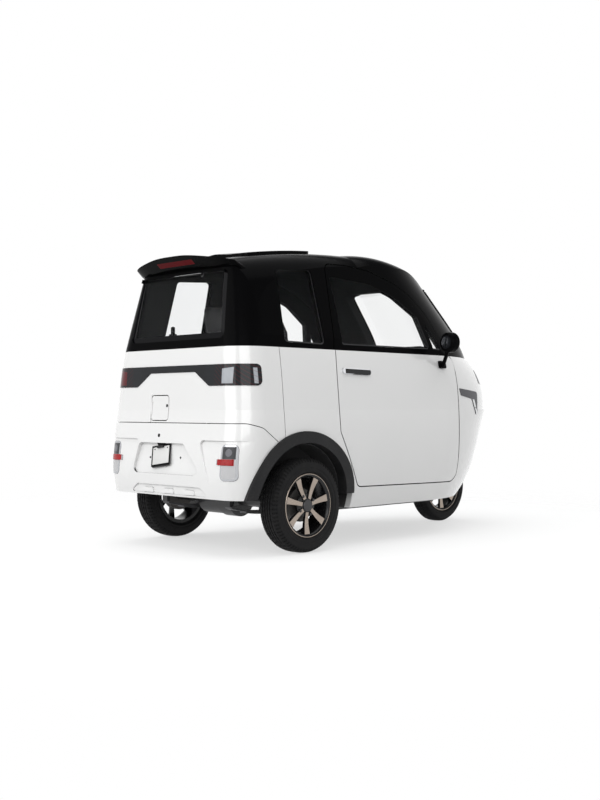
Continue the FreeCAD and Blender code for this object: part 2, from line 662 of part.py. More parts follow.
def add_charge_flap(nodes):
    """The flap in the tail panel on its leaning pin, and the socket box behind it."""
    y0, y1 = FLAP_Y - FLAP_HALF, FLAP_Y + FLAP_HALF
    z0, z1 = FLAP_Z - FLAP_HALF_HEIGHT, FLAP_Z + FLAP_HALF_HEIGHT
    hole = end_prism(rounded_box(y0 - FLAP_GAP, y1 + FLAP_GAP, z0 - FLAP_GAP, z1 + FLAP_GAP, 22.0), -600.0, -300.0)
    region = end_prism(rounded_box(y0, y1, z0, z1, 18.0), -600.0, -300.0)
    flap = solids_of(layer(body_solid, 0.0, FLAP_THICK, region))
    pin_y = y1 + FLAP_GAP / 2
    low, high = (V(tail_at(z) - FLAP_PIN_OUT, pin_y, z) for z in (z0 - FLAP_GAP - 5.5, z1 + FLAP_GAP + 5.5))
    way = (high - low).normalize()
    web = slab(-2, 8, -FLAP_GAP / 2 - 8, 0, -34, 34)
    web.translate((low + high) * 0.5)
    web = web.cut(body_solid(FLAP_THICK - 1))
    pin = rod(FLAP_PIN, low, high)
    nodes["charge_flap"] = solids_of(flap.fuse([web, pin]))
    eyes = [rod(FLAP_PIN + 3, low, low + way * 5), rod(FLAP_PIN + 3, high - way * 5, high)]
    bore = rod(FLAP_PIN + PIN_CLEARANCE, low - way, high + way)
    nodes["tail_panel"] = solids_of(nodes["tail_panel"].cut(hole).fuse(eyes).cut(bore))
    back = tail_at(z1 + 20) + WALL
    cup = slab(back + SEAT_GAP, back + 54, y0 - 20, y1 + 20, z0 - 20, z1 + 20)
    cup = cup.cut(slab(back, back + 48, y0 - 12, y1 + 12, z0 - 12, z1 + 12))
    plug = rod(32, V(back + 10, FLAP_Y, FLAP_Z), V(back + 54, FLAP_Y, FLAP_Z))
    pins = [rod(5, V(back, FLAP_Y + y, FLAP_Z + z), V(back + 30, FLAP_Y + y, FLAP_Z + z))
            for y, z in ((-12, -8), (12, -8), (0, 12))]
    nodes["charge_socket"] = cup.fuse(plug.cut(pins))
    return low, way


def cabin_nodes():
    """The black top: one hollow wall over the waist, with its windows, door frames and panes."""
    outside = cabin_solid()
    shell = outside.cut(core(CABIN_SECTIONS, WALL).common(under_roof(WALL)))
    pane_out = core(CABIN_SECTIONS, GLASS_INSET).common(under_roof(GLASS_INSET))
    pane_in = core(CABIN_SECTIONS, GLASS_INSET + GLASS).common(under_roof(GLASS_INSET + GLASS))
    panes = pane_out.cut(pane_in).common(above(WAIST + 5))
    door, hole = door_block(), door_block(DOOR_GAP)
    rear = end_prism(REAR_PANE, -600.0, -200.0)
    screen = end_prism(SCREEN_PANE, NOSE - 990, NOSE - 10)
    quarter = side_prism(QUARTER_WINDOW, 1)
    top = shell.cut([hole, mirrored(hole), rear, screen, quarter, mirrored(quarter)])
    openings = side_prism(DOOR_WINDOW, 1).fuse(side_prism(VENT_WINDOW, 1))
    frame = shell.common(door).cut(openings)
    nodes = {
        "cabin_top": solids_of(top),
        "door_frame_left": solids_of(frame),
        "door_glass_left": solids_of(panes.common(openings)),
        "quarter_glass_left": solids_of(panes.common(quarter)),
        "rear_window": solids_of(panes.common(rear)),
        "windscreen": solids_of(panes.common(screen)),
    }
    for name in ("door_frame", "door_glass", "quarter_glass"):
        nodes[name + "_right"] = mirrored(nodes[name + "_left"])
    return nodes, outside


def spoiler_profile(y, lip_x, lip_z, face, root_z):
    """The spoiler's closed section at one distance from the middle: top, sloping rear face and underside."""
    foot = (lip_x + face * SPOILER_FACE_SLOPE, lip_z - face)
    points = [(lip_x, lip_z), foot, (SPOILER_ROOT_X, root_z - face * 1.2), (SPOILER_ROOT_X, root_z)]
    corners = [V(st(x), y, z) for x, z in points]
    return Part.makePolygon(corners + corners[:1])


def add_roof_pieces(nodes, outside):
    """The spoiler over the rear window with its brake lamp, and the raised sunroof panel."""
    rows = [(-row[0],) + row[1:] for row in SPOILER_ROWS[:0:-1]] + list(SPOILER_ROWS)
    spoiler = Part.makeLoft([spoiler_profile(*row) for row in rows], True, False).cut(outside)
    half, low, high = BRAKE_LAMP
    lip_x, lip_z = SPOILER_ROWS[0][1:3]
    deep = [lip_x + (lip_z - z) * SPOILER_FACE_SLOPE + BRAKE_LAMP_DEPTH for z in (low, high)]
    lamp = side_prism([(-600.0, low, 0.0), (deep[0], low, 0.0), (deep[1], high, 0.0), (-600.0, high, 0.0)], 1,
                      -half, half)
    nodes["high_brake_lamp"] = solids_of(spoiler.common(lamp), 500.0)
    nodes["roof_spoiler"] = solids_of(spoiler.cut(lamp))
    x0, x1, half = SUNROOF
    plate = rounded([(st(x0), -half, 60.0), (st(x1), -half, 60.0), (st(x1), half, 60.0), (st(x0), half, 60.0)])
    face = Part.Face(plate)
    face.rotate(V(0, 0, 0), V(1, 0, 0), -90)
    region = face.extrude(V(0, 0, 3000))
    panel = under_roof(-SUNROOF_RISE).cut(under_roof(0.0)).common(region)
    nodes["sunroof_panel"] = solids_of(panel)


def add_side_trim(nodes):
    """Arch trims, fender vents, door handles, mirrors and headlamps, each seated in the surface it sits on."""
    region = arch_block(ARCH_OUTER - SEAT_GAP, HOUSE_INNER_Y, 720)
    region = region.cut(arch_block(ARCH_INNER, HOUSE_INNER_Y - 10, 720)).common(above(ARCH_FOOT_Z))
    nodes["arch_trims"] = pair(solids_of(layer(body_solid, TRIM_PROUD, TRIM_WIDTH - TRIM_PROUD, region)))
    vent = [(1315.0, 868.0, 4.0), (1330.0, 826.0, 8.0), (1480.0, 806.0, 8.0), (1536.0, 712.0, 8.0),
            (1566.0, 712.0, 8.0), (1586.0, 838.0, 18.0), (1572.0, 850.0, 12.0)]
    vents = solids_of(layer(body_solid, 3.0, 8.0, side_prism(vent, 1)))
    cut = side_prism(grown(vent, 0.5), 1).cut(body_solid(8.0 + SEAT_GAP))
    nodes["fender_vents"] = pair(vents)
    lamp = [(NOSE - 410, 908.0, 20.0), (NOSE - 30, 886.0, 0.0), (NOSE - 30, 966.0, 0.0), (NOSE - 420, 992.0, 16.0)]
    front = side_prism(lamp, 1, 130.0, 600.0)
    lens = solids_of(layer(body_solid, 2.0, 16.0, front))
    seat = side_prism(grown(lamp, 0.5), 1, 129.5, 600.0).cut(body_solid(16.0 + SEAT_GAP))
    nodes["headlamps"] = pair(lens)
    nodes["front_body"] = solids_of(nodes["front_body"].cut([cut, mirrored(cut), seat, mirrored(seat)]))
    handle = [(284.0, 934.0, 15.0), (506.0, 930.0, 15.0), (506.0, 962.0, 15.0), (284.0, 966.0, 15.0)]
    grip = solids_of(layer(body_solid, 9.0, 7.0, side_prism(handle, 1)))
    pocket = side_prism(grown(handle, 0.5), 1).cut(body_solid(7.0 + SEAT_GAP))
    nodes["door_left"] = solids_of(nodes["door_left"].cut(pocket))
    nodes["door_right"] = mirrored(nodes["door_left"])
    nodes["door_handle_left"] = grip
    nodes["door_handle_right"] = mirrored(grip)
    base = V(st(1150), 508, 1012)
    arm = tube_path(11, [base, V(st(1140), 566, 1004), V(st(1120), 604, 1056), V(st(1112), 622, 1120)])
    root = layer(body_solid, 14.0, 0.0, side_prism([(1120.0, 984.0, 10.0), (1182.0, 984.0, 10.0), (1182.0, 1028.0, 10.0),
                                                    (1120.0, 1028.0, 10.0)], 1))
    head = Part.makeCylinder(60, 66, V(st(1100) - 20, 632, 1132), V(1, 0.12, 0))
    head = head.makeFillet(20, [e for e in head.Edges if e.Length > 300])
    mirror = arm.fuse([solids_of(root, 100.0), head]).cut(body_solid(0.0))
    nodes["mirror_left"] = solids_of(mirror)
    nodes["mirror_right"] = mirrored(nodes["mirror_left"])


def running_gear():
    """Wheels, the driven rear axle with its springs, the frame, the battery and the steered fork."""
    nodes = {}
    half = TRACK / 2
    for side, name in ((1, "left"), (-1, "right")):
        place = V(st(0), side * half, REAR_TYRE_RADIUS)
        tyre_piece, rim_piece = wheel(REAR_TYRE_RADIUS, REAR_TYRE_WIDTH, side, REAR_BORE, place)
        nodes["rear_tyre_" + name] = tyre_piece
        nodes["rear_rim_" + name] = rim_piece
    tyre_piece, rim_piece = wheel(FRONT_TYRE_RADIUS, FRONT_TYRE_WIDTH, -1, FRONT_BORE, front_axle())
    nodes["front_tyre"], nodes["front_rim"] = tyre_piece, rim_piece

    z = REAR_TYRE_RADIUS
    hub_back = half + REAR_TYRE_WIDTH / 2 - FACE_DEPTH - 4 - HUB_LENGTH
    drum_out = hub_back - 6
    x = st(0)
    beam = rod(BEAM_RADIUS, V(x, -drum_out + 44, z), V(x, drum_out - 44, z))
    stubs = rod(REAR_BORE - PIN_CLEARANCE, V(x, -half - 40, z), V(x, half + 40, z))
    case = rod(92, V(x, -60, z), V(x, 34, z))
    motor = rod(84, V(x, 34, z), V(x, 210, z))
    nodes["rear_axle"] = beam.fuse([stubs, case, motor, rod(50, V(x - 60, -20, z), V(x + 150, -20, z))])
    drum = rod(88, V(x, drum_out - 46, z), V(x, drum_out, z)).cut(
        rod(REAR_BORE, V(x, drum_out - 60, z), V(x, drum_out + 10, z))).cut(
        rod(BEAM_RADIUS + SEAT_GAP, V(x, drum_out - 60, z), V(x, drum_out - 44, z)))
    nodes["rear_drums"] = pair(drum)

    nodes["rear_springs"] = pair(leaf_spring())

    legs = []
    for s in (1, -1):
        legs.append(rod(FORK_RADIUS, along_steer(0, s * FORK_HALF), along_steer(CROWN_AT + 8, s * FORK_HALF)))
        legs.append(rod(FORK_RADIUS + 6, along_steer(0, s * (FORK_HALF - 6)), along_steer(0, s * (FORK_HALF + 12))))
    crown = rod(24, along_steer(CROWN_AT + 8, -FORK_HALF), along_steer(CROWN_AT + 8, FORK_HALF))
    crown = crown.common(rod(FORK_HALF + 40, along_steer(CROWN_AT), along_steer(CROWN_AT + 16)))
    axle = rod(FRONT_BORE - PIN_CLEARANCE, along_steer(0, -FORK_HALF - 6), along_steer(0, FORK_HALF + 6))
    column = rod(COLUMN_RADIUS, along_steer(CROWN_AT + 4), along_steer(COLUMN_TOP))
    nodes["front_fork"] = crown.fuse(legs + [axle, column])

    clamp = rod(26, along_steer(COLUMN_TOP + SEAT_GAP), along_steer(COLUMN_TOP + 40))
    bars = []
    for s in (1, -1):
        path = [along_steer(COLUMN_TOP + 22, s * 10), along_steer(COLUMN_TOP + 34, s * 120),
                along_steer(COLUMN_TOP + 30, s * BAR_HALF, -90)]
        bars.append(tube_path(11, path))
        reach = path[2] - path[1]
        bars.append(rod(17, path[2] - reach * 0.62, path[2] + reach * 0.02))
    nodes["handlebar"] = clamp.fuse(bars)
    return nodes


def leaf_spring():
    """The left spring: two curved leaves under the axle beam, with their seat."""
    x, z = st(0), REAR_TYRE_RADIUS - BEAM_RADIUS - SPRING_SEAT
    leaves = []
    for length, drop in ((SPRING_HALF, 0.0), (SPRING_HALF * 0.62, LEAF + 0.3)):
        rise = SPRING_RISE * (length / SPRING_HALF) ** 2
        a, b, c = (V(x + dx, 0, z + dz - drop) for dx, dz in ((-length, rise), (0, 0), (length, rise)))
        down = V(0, 0, -LEAF)
        wire = Part.Wire([Part.Arc(a, b, c).toShape(), Part.LineSegment(c, c + down).toShape(),
                          Part.Arc(c + down, b + down, a + down).toShape(), Part.LineSegment(a + down, a).toShape()])
        leaf = Part.Face(wire)
        leaf.translate(V(0, RAIL_Y - LEAF_WIDTH / 2, 0))
        leaves.append(leaf.extrude(V(0, LEAF_WIDTH, 0)))
    inner, outer = RAIL_Y - LEAF_WIDTH / 2, RAIL_Y + LEAF_WIDTH / 2
    seat = slab(x - 34, x + 34, inner, outer, z - LEAF - 3, z + SPRING_SEAT + 6)
    beam = rod(BEAM_RADIUS + SEAT_GAP, V(x, 0, REAR_TYRE_RADIUS), V(x, 500, REAR_TYRE_RADIUS))
    return leaves[0].fuse([leaves[1], seat]).cut(beam)


def strut(side, radius):
    """One of the two bent tubes from the frame's front end up to the steering head."""
    return tube_path(radius, [V(st(FRAME_FRONT - 20), side * 190, FLOOR_Z - 16),
                              V(st(FRAME_FRONT + 6), side * 150, 540), along_steer(HEAD_BOTTOM + 80, side * 14)])


def frame_and_floor():
    """The tubular frame under the floor, the stepped floor with its wheel houses, and the battery block."""
    nodes = {}
    kick = STEP_X - 60
    parts = []
    for s in (1, -1):
        y0, y1 = sorted((s * (RAIL_Y - RAIL_WIDTH / 2), s * (RAIL_Y + RAIL_WIDTH / 2)))
        parts.append(slab(st(kick - 30), st(FRAME_FRONT), y0, y1, FLOOR_Z - RAIL_HEIGHT, FLOOR_Z))
        parts.append(slab(st(FRAME_REAR), st(kick), y0, y1, REAR_FLOOR_Z - RAIL_HEIGHT, REAR_FLOOR_Z))
        parts.append(slab(st(kick - 30), st(kick), y0, y1, FLOOR_Z, REAR_FLOOR_Z - RAIL_HEIGHT))
        spring_end = REAR_TYRE_RADIUS - BEAM_RADIUS - SPRING_SEAT + SPRING_RISE
        x_end = st(-SPRING_HALF)
        parts.append(slab(x_end - 8, x_end + 12, y0, y1, spring_end + SEAT_GAP, REAR_FLOOR_Z - RAIL_HEIGHT))
        x_end = st(SPRING_HALF)
        parts.append(slab(x_end + SEAT_GAP, st(kick - 30), y0, y1, spring_end - 30, spring_end + 20))
        parts.append(strut(s, STRUT_RADIUS))
    for x, z in ((FRAME_REAR + 20, REAR_FLOOR_Z), (kick - 20, REAR_FLOOR_Z), (kick + 30, FLOOR_Z),
                 (900, FLOOR_Z), (FRAME_FRONT - 20, FLOOR_Z)):
        parts.append(slab(st(x - 20), st(x + 20), -RAIL_Y, RAIL_Y, z - RAIL_HEIGHT, z))
    head = rod(HEAD_RADIUS, along_steer(HEAD_BOTTOM), along_steer(HEAD_TOP))
    parts.append(head)
    bore = rod(COLUMN_RADIUS + PIN_CLEARANCE, along_steer(HEAD_BOTTOM - 60), along_steer(HEAD_TOP + 5))
    frame = parts[0].fuse(parts[1:]).cut(bore)
    nodes["chassis_frame"] = solids_of(frame)

    inner = lofted(BODY_LOWER, WALL + SEAT_GAP)
    base = FLOOR_Z + SEAT_GAP
    rear_base = REAR_FLOOR_Z + SEAT_GAP
    front = inner.common(slab(st(STEP_X - FLOOR), FAR, -FAR, FAR, base, base + FLOOR))
    rear = inner.common(slab(-FAR, st(STEP_X), -FAR, FAR, rear_base, rear_base + FLOOR))
    riser = inner.common(slab(st(STEP_X - FLOOR), st(STEP_X), -FAR, FAR, base, rear_base + FLOOR))
    pan = front.fuse([rear, riser])
    house = arch_block(ARCH_INNER, HOUSE_INNER_Y, 700).common(body_solid(TRIM_WIDTH - TRIM_PROUD + SEAT_GAP))
    space = arch_block(ARCH_INNER - HOUSE_WALL, HOUSE_INNER_Y + HOUSE_WALL, 700)
    well = well_block(WELL_RADIUS, WELL_TOP)
    wells = arch_block(ARCH_INNER + SEAT_GAP, HOUSE_INNER_Y - SEAT_GAP, 700)
    hole = well_block(WELL_RADIUS + SEAT_GAP, WELL_TOP + SEAT_GAP)
    doorway = door_block(DOOR_GAP).cut(body_solid(WALL + DOOR_GAP))
    behind = slab(-FAR, st(ARCH_X), -FAR, FAR, 0, ARCH_FOOT_Z + 6)
    beam_room = slab(st(0) - BEAM_RADIUS - 12, st(0) + BEAM_RADIUS + 12, 0, 500,
                     0, REAR_TYRE_RADIUS + BEAM_RADIUS + BEAM_TRAVEL)
    house = house.cut([space, behind, beam_room]).common(above(base))
    trim_room = arch_block(ARCH_OUTER, HOUSE_INNER_Y, 700).cut(body_solid(TRIM_WIDTH - TRIM_PROUD + SEAT_GAP))
    struts = [strut(s, STRUT_RADIUS + SEAT_GAP) for s in (1, -1)]
    pan = pan.cut([wells, mirrored(wells), hole, doorway, mirrored(doorway), trim_room, mirrored(trim_room)])
    nodes["floor_pan"] = solids_of(pan.cut(struts))
    nodes["wheel_houses"] = pair(solids_of(house))
    liner = well.cut(well_block(WELL_RADIUS - WELL_WALL, WELL_TOP - WELL_WALL))
    liner = liner.common(body_solid(2.0)).common(above(base))
    nodes["front_well_liner"] = solids_of(liner.cut(well_block(COLUMN_RADIUS + 7, WELL_TOP + 50)))
    top = base + FLOOR + SEAT_GAP
    nodes["battery_block"] = slab(st(BATTERY_REAR), st(BATTERY_FRONT), -BATTERY_HALF, BATTERY_HALF, top,
                                  BATTERY_TOP)
    return nodes


def seat(profile, half, hollow, hollow_half, base):
    """A bucket seat: one side profile with the sitter's hollow cut between its side bolsters."""
    solid = side_prism([(x, z + base, r) for x, z, r in profile], 1, -half, half)
    cut = side_prism([(x, z + base, r) for x, z, r in hollow], 1, -hollow_half, hollow_half)
    return solid.cut(cut)


def inside_pieces():
    front = seat(FRONT_SEAT, FRONT_SEAT_HALF, FRONT_HOLLOW, FRONT_SEAT_HALF - BOLSTER, BATTERY_TOP + SEAT_GAP)
    base = REAR_FLOOR_Z + SEAT_GAP + FLOOR + SEAT_GAP
    rear = seat(REAR_SEAT, REAR_SEAT_HALF, REAR_HOLLOW, REAR_SEAT_HALF - BOLSTER, base)
    inner = lofted(BODY_UPPER, WALL + SEAT_GAP)
    dash = inner.common(slab(st(DASH_REAR), st(HOOD_REAR) - SEAT_GAP, -FAR, FAR, DASH_BOTTOM, WAIST - 1))
    under = inner.common(slab(st(DASH_REAR), st(HOOD_REAR + 70), -FAR, FAR, DASH_BOTTOM,
                              WAIST - HOOD_PLATE - SEAT_GAP))
    visor = [(x + DASH_REAR, z + WAIST, r) for x, z, r in VISOR]
    pod = side_prism(visor, 1, -VISOR_HALF, VISOR_HALF)
    return {"front_seat": front, "rear_seat": rear, "dash_panel": solids_of(dash.fuse([under, pod]))}


def save(name, shape):
    shape.exportStep(os.path.join("parts", name + ".step"))


def build():
    os.makedirs("parts", exist_ok=True)
    nodes = body_panels()
    add_tail_lamps(nodes)
    add_plate(nodes)
    add_charge_flap(nodes)
    cabin, outside = cabin_nodes()
    nodes.update(cabin)
    add_roof_pieces(nodes, outside)
    add_side_trim(nodes)
    nodes.update(running_gear())
    nodes.update(frame_and_floor())
    nodes.update(inside_pieces())
    for name, shape in nodes.items():
        save(name, shape)


build()
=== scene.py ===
"""Dresses an enclosed electric tricycle for a studio picture.

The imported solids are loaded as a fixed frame. Each class below stands for one sub-assembly or one finish:
it holds its own sizes in metres, builds its meshes with bmesh operators and gives them their materials.
+X is the front of the vehicle, +Y its left and +Z up; the origin lies on the ground under its middle.
"""

import json
import logging
import math
from collections.abc import Sequence
from dataclasses import dataclass, field
from enum import Enum

import bmesh
import bpy
from mathutils import Matrix, Vector
from mathutils.bvhtree import BVHTree

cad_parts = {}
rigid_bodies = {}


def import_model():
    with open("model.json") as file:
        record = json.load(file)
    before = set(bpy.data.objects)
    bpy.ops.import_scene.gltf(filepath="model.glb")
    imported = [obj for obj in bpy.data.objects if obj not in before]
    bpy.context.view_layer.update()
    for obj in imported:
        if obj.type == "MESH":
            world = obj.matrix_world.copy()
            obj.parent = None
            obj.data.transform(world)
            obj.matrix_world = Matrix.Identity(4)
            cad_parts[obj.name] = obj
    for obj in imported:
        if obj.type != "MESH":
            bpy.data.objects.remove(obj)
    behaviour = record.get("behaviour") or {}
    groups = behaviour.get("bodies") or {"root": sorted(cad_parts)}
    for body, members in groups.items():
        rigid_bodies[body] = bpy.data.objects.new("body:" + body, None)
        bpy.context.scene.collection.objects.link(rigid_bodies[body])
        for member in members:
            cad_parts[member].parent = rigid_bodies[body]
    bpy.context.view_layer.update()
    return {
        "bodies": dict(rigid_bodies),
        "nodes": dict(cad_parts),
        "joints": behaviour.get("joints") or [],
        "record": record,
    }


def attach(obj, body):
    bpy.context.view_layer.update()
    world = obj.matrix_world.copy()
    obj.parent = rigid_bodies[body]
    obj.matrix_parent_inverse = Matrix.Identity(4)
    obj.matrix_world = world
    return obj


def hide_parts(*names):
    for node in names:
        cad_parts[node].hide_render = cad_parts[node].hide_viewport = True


LOG = logging.getLogger("tricycle")
Number = float | int
Pair = tuple[float, float]
Point = tuple[float, float, float]
Shape = bmesh.types.BMesh
Socket = bpy.types.NodeSocket

REAR_AXLE = Vector((-0.820, 0.0, 0.247))
FRONT_AXLE = Vector((0.980, 0.0, 0.236))
REAR_WHEEL_Y = 0.521
CABIN_HEART = (0.05, 0.0, 0.85)
REARWARD = Vector((-1.0, 0.0, 0.0))


class Side(Enum):
    """The two sides of the vehicle, as the sign of Y."""

    LEFT = 1
    RIGHT = -1


class Signal:
    """A number that varies over a surface, written with ordinary arithmetic."""

    def __init__(self, tree: "Tree", socket: Socket) -> None:
        """Wraps an output socket of the tree."""
        self.tree = tree
        self.socket = socket

    def join(self, operation: str, *others: "Signal | Number", first: bool = True) -> "Signal":
        """Adds a Math node.

        Args:
            operation: the Math node's operation.
            others: the other operands.
            first: whether this signal is the first operand.

        Returns:
            The result as a signal.
        """
        operands = (self, *others) if first else (*others, self)
        node = self.tree.node("ShaderNodeMath", {"operation": operation}, dict(enumerate(operands)))
        return Signal(self.tree, node.outputs[0])

    def __add__(self, other: "Signal | Number") -> "Signal":
        """Sum."""
        return self.join("ADD", other)

    def __radd__(self, other: Number) -> "Signal":
        """Sum with a number on the left."""
        return self.join("ADD", other)

    def __sub__(self, other: "Signal | Number") -> "Signal":
        """Difference."""
        return self.join("SUBTRACT", other)

    def __rsub__(self, other: Number) -> "Signal":
        """Difference from a number on the left."""
        return self.join("SUBTRACT", other, first=False)

    def __mul__(self, other: "Signal | Number") -> "Signal":
        """Product."""
        return self.join("MULTIPLY", other)

    def __pow__(self, other: Number) -> "Signal":
        """Power."""
        return self.join("POWER", other)

    def __abs__(self) -> "Signal":
        """Size without the sign."""
        return self.join("ABSOLUTE")

    def wave(self, length: float) -> "Signal":
        """A sine of this signal with that wavelength."""
        return (self * (2.0 * math.pi / length)).join("SINE")

    def least(self, other: "Signal | Number") -> "Signal":
        """The smaller of the two."""
        return self.join("MINIMUM", other)

    def most(self, other: "Signal | Number") -> "Signal":
        """The larger of the two."""
        return self.join("MAXIMUM", other)

    def rise(self, low: float, high: float) -> "Signal":
        """A smooth step from 0 at low to 1 at high."""
        settings = {"interpolation_type": "SMOOTHSTEP"}
        node = self.tree.node("ShaderNodeMapRange", settings, {0: self, 1: low, 2: high, 3: 0.0, 4: 1.0})
        return Signal(self.tree, node.outputs[0])
    def band(self, start: Pair, end: Pair) -> "Signal":
        """1 between two soft edges, each given as its low and high value, and 0 outside them."""
        return self.rise(*start) * (1.0 - self.rise(*end))


class Tree:
    """The node tree of a material or a world."""

    def __init__(self, owner: bpy.types.Material | bpy.types.World) -> None:
        """Empties the owner's tree."""
        owner.use_nodes = True
        self.nodes, self.links = owner.node_tree.nodes, owner.node_tree.links
        self.nodes.clear()

    def node(self, kind: str, settings: dict | None = None, inputs: dict | None = None) -> bpy.types.Node:
        """Adds one node.

        Args:
            kind: the node's type.
            settings: its properties, set first.
            inputs: its sockets by name or number, with a value, a socket or a signal each.

        Returns:
            The new node.
        """
        made = self.nodes.new(kind)
        for key, value in (settings or {}).items():
            setattr(made, key, value)
        for key, value in (inputs or {}).items():
            socket = made.inputs[key]
            if isinstance(value, Signal):
                self.links.new(value.socket, socket)
            elif isinstance(value, Socket):
                self.links.new(value, socket)
            else:
                socket.default_value = self.fitted(socket, value)
        return made

    @staticmethod
    def fitted(socket: Socket, value: Number | Sequence[float]) -> Number | tuple[float, ...]:
        """A colour of three numbers gets its alpha; anything else stays as it is."""
        if socket.type == "RGBA" and len(value) == 3:
            return (*value, 1.0)
        return value

    def place(self, shift: Point | None = None) -> Socket:
        """Object coordinates, moved by shift if there is one."""
        coordinates = self.node("ShaderNodeTexCoord").outputs["Object"]
        if shift is None:
            return coordinates
        return self.node("ShaderNodeMapping", {}, {"Vector": coordinates, "Location": shift}).outputs[0]

    def axes(self, vector: Socket) -> tuple[Signal, Signal, Signal]:
        """The three parts of a vector."""
        parts = self.node("ShaderNodeSeparateXYZ", {}, {0: vector}).outputs
        return Signal(self, parts[0]), Signal(self, parts[1]), Signal(self, parts[2])

    def noise(self, scale: float, detail: float = 2.0) -> Signal:
        """Fractal noise about 0.5, with scale features to the metre."""
        inputs = {"Vector": self.place(), "Scale": scale, "Detail": detail}
        return Signal(self, self.node("ShaderNodeTexNoise", {}, inputs).outputs[0])

    def cells(self, scale: float) -> Signal:
        """Distance to the middle of the nearest cell."""
        inputs = {"Vector": self.place(), "Scale": scale}
        return Signal(self, self.node("ShaderNodeTexVoronoi", {}, inputs).outputs[0])

    def mix(self, factor: Signal | Number, a: Sequence[float] | Socket, b: Sequence[float] | Socket) -> Socket:
        """Colour a where the factor is 0 and b where it is 1."""
        return self.node("ShaderNodeMix", {"data_type": "RGBA"}, {0: factor, 6: a, 7: b}).outputs[2]

    def bump(self, height: Signal, distance: float) -> Socket:
        """A normal from a height of 0 to 1 that stands for that distance in metres."""
        return self.node("ShaderNodeBump", {}, {"Height": height, "Distance": distance}).outputs[0]

    def vector_math(self, operation: str, *operands: Socket | Point) -> bpy.types.Node:
        """A Vector Math node."""
        return self.node("ShaderNodeVectorMath", {"operation": operation}, dict(enumerate(operands)))

    def outward(self, heart: Point) -> Signal:
        """How far the surface faces away from a point, from -1 to 1."""
        away = self.vector_math("SUBTRACT", self.place(), heart).outputs[0]
        unit = self.vector_math("NORMALIZE", away).outputs[0]
        facing = self.node("ShaderNodeTexCoord").outputs["Normal"]
        return Signal(self, self.vector_math("DOT_PRODUCT", facing, unit).outputs["Value"])

    def surface(self, inputs: dict) -> Socket:
        """The principled shader with these sockets."""
        return self.node("ShaderNodeBsdfPrincipled", {}, inputs).outputs[0]

    def blend(self, factor: Signal | Number, a: Socket, b: Socket) -> Socket:
        """Shader a where the factor is 0 and b where it is 1."""
        return self.node("ShaderNodeMixShader", {}, {0: factor, 1: a, 2: b}).outputs[0]


def times(colour: Point, factor: float) -> list[float]:
    """A colour made lighter or darker by a factor."""
    return [c * factor for c in colour]


@dataclass(frozen=True)
class Look:
    """What every finish shares: a name and a material with a principled shader."""

    name: str

    @property
    def material(self) -> bpy.types.Material:
        """The material, built at the first call."""
        return bpy.data.materials.get("finish_" + self.name) or self.build()

    def build(self) -> bpy.types.Material:
        """Returns a new material."""
        material = bpy.data.materials.new("finish_" + self.name)
        tree = Tree(material)
        tree.node("ShaderNodeOutputMaterial", {}, {"Surface": self.shader(tree)})
        return material

    def shader(self, t: Tree) -> Socket:
        """The shader that the material shows."""
        return t.surface(self.sockets(t))

    def sockets(self, t: Tree) -> dict:
        """What the principled shader's sockets hold; each finish says it for itself."""
        raise NotImplementedError


@dataclass(frozen=True)
class Lacquer(Look):
    """Glossy paint outside and a grained lining on faces that look into the cabin."""

    colour: Point
    lining: Point
    roughness: float = 0.22
    coat: float = 1.0
    specular: float = 0.5
    peel: float = 0.000012
    heart: Point = CABIN_HEART
    lining_edge: Pair = (-0.35, -0.20)

    def sockets(self, t: Tree) -> dict:
        """Paint and lining, mixed by the way a face looks."""
        inside = 1.0 - t.outward(self.heart).rise(*self.lining_edge)
        outside = 1.0 - inside
        worn = t.noise(38.0, 4.0)
        shade = t.mix(t.noise(1.7, 3.0), times(self.colour, 0.965), times(self.colour, 1.02))
        lining = t.mix(t.noise(420.0, 3.0), times(self.lining, 0.7), times(self.lining, 1.3))
        height = t.noise(260.0, 2.0) * outside + t.cells(900.0) * inside * 14.0
        return {
            "Base Color": t.mix(inside, shade, lining),
            "Roughness": (self.roughness + worn * 0.05) * outside + inside * (0.55 + worn * 0.15),
            "Coat Weight": outside * self.coat,
            "Coat Roughness": 0.025,
            "Specular IOR Level": self.specular,
            "Normal": t.bump(height, self.peel),
        }


@dataclass(frozen=True)
class Moulded(Look):
    """Grained or satin plastic, and painted metal of the same look."""

    colour: Point
    roughness: float = 0.5
    grain: float = 1100.0
    depth: float = 0.00012
    scuff: float = 0.2
    metallic: float = 0.0
    coat: float = 0.0
    specular: float = 0.5
    dust: Point = (0.16, 0.15, 0.14)
    dust_share: float = 0.10

    def sockets(self, t: Tree) -> dict:
        """An uneven colour under settled dust, with a fine grain."""
        cloud = t.noise(6.0, 4.0)
        rub = t.noise(70.0, 5.0)
        base = t.mix(cloud, times(self.colour, 1.0 - self.scuff), times(self.colour, 1.0 + self.scuff))
        settled = (rub * cloud).rise(0.22, 0.5) * self.dust_share
        return {
            "Base Color": t.mix(settled, base, self.dust),
            "Roughness": self.roughness + (rub - 0.5) * 0.25 + settled * 0.6,
            "Metallic": self.metallic,
            "Coat Weight": self.coat,
            "Specular IOR Level": self.specular,
            "Normal": t.bump(t.cells(self.grain), self.depth),
        }


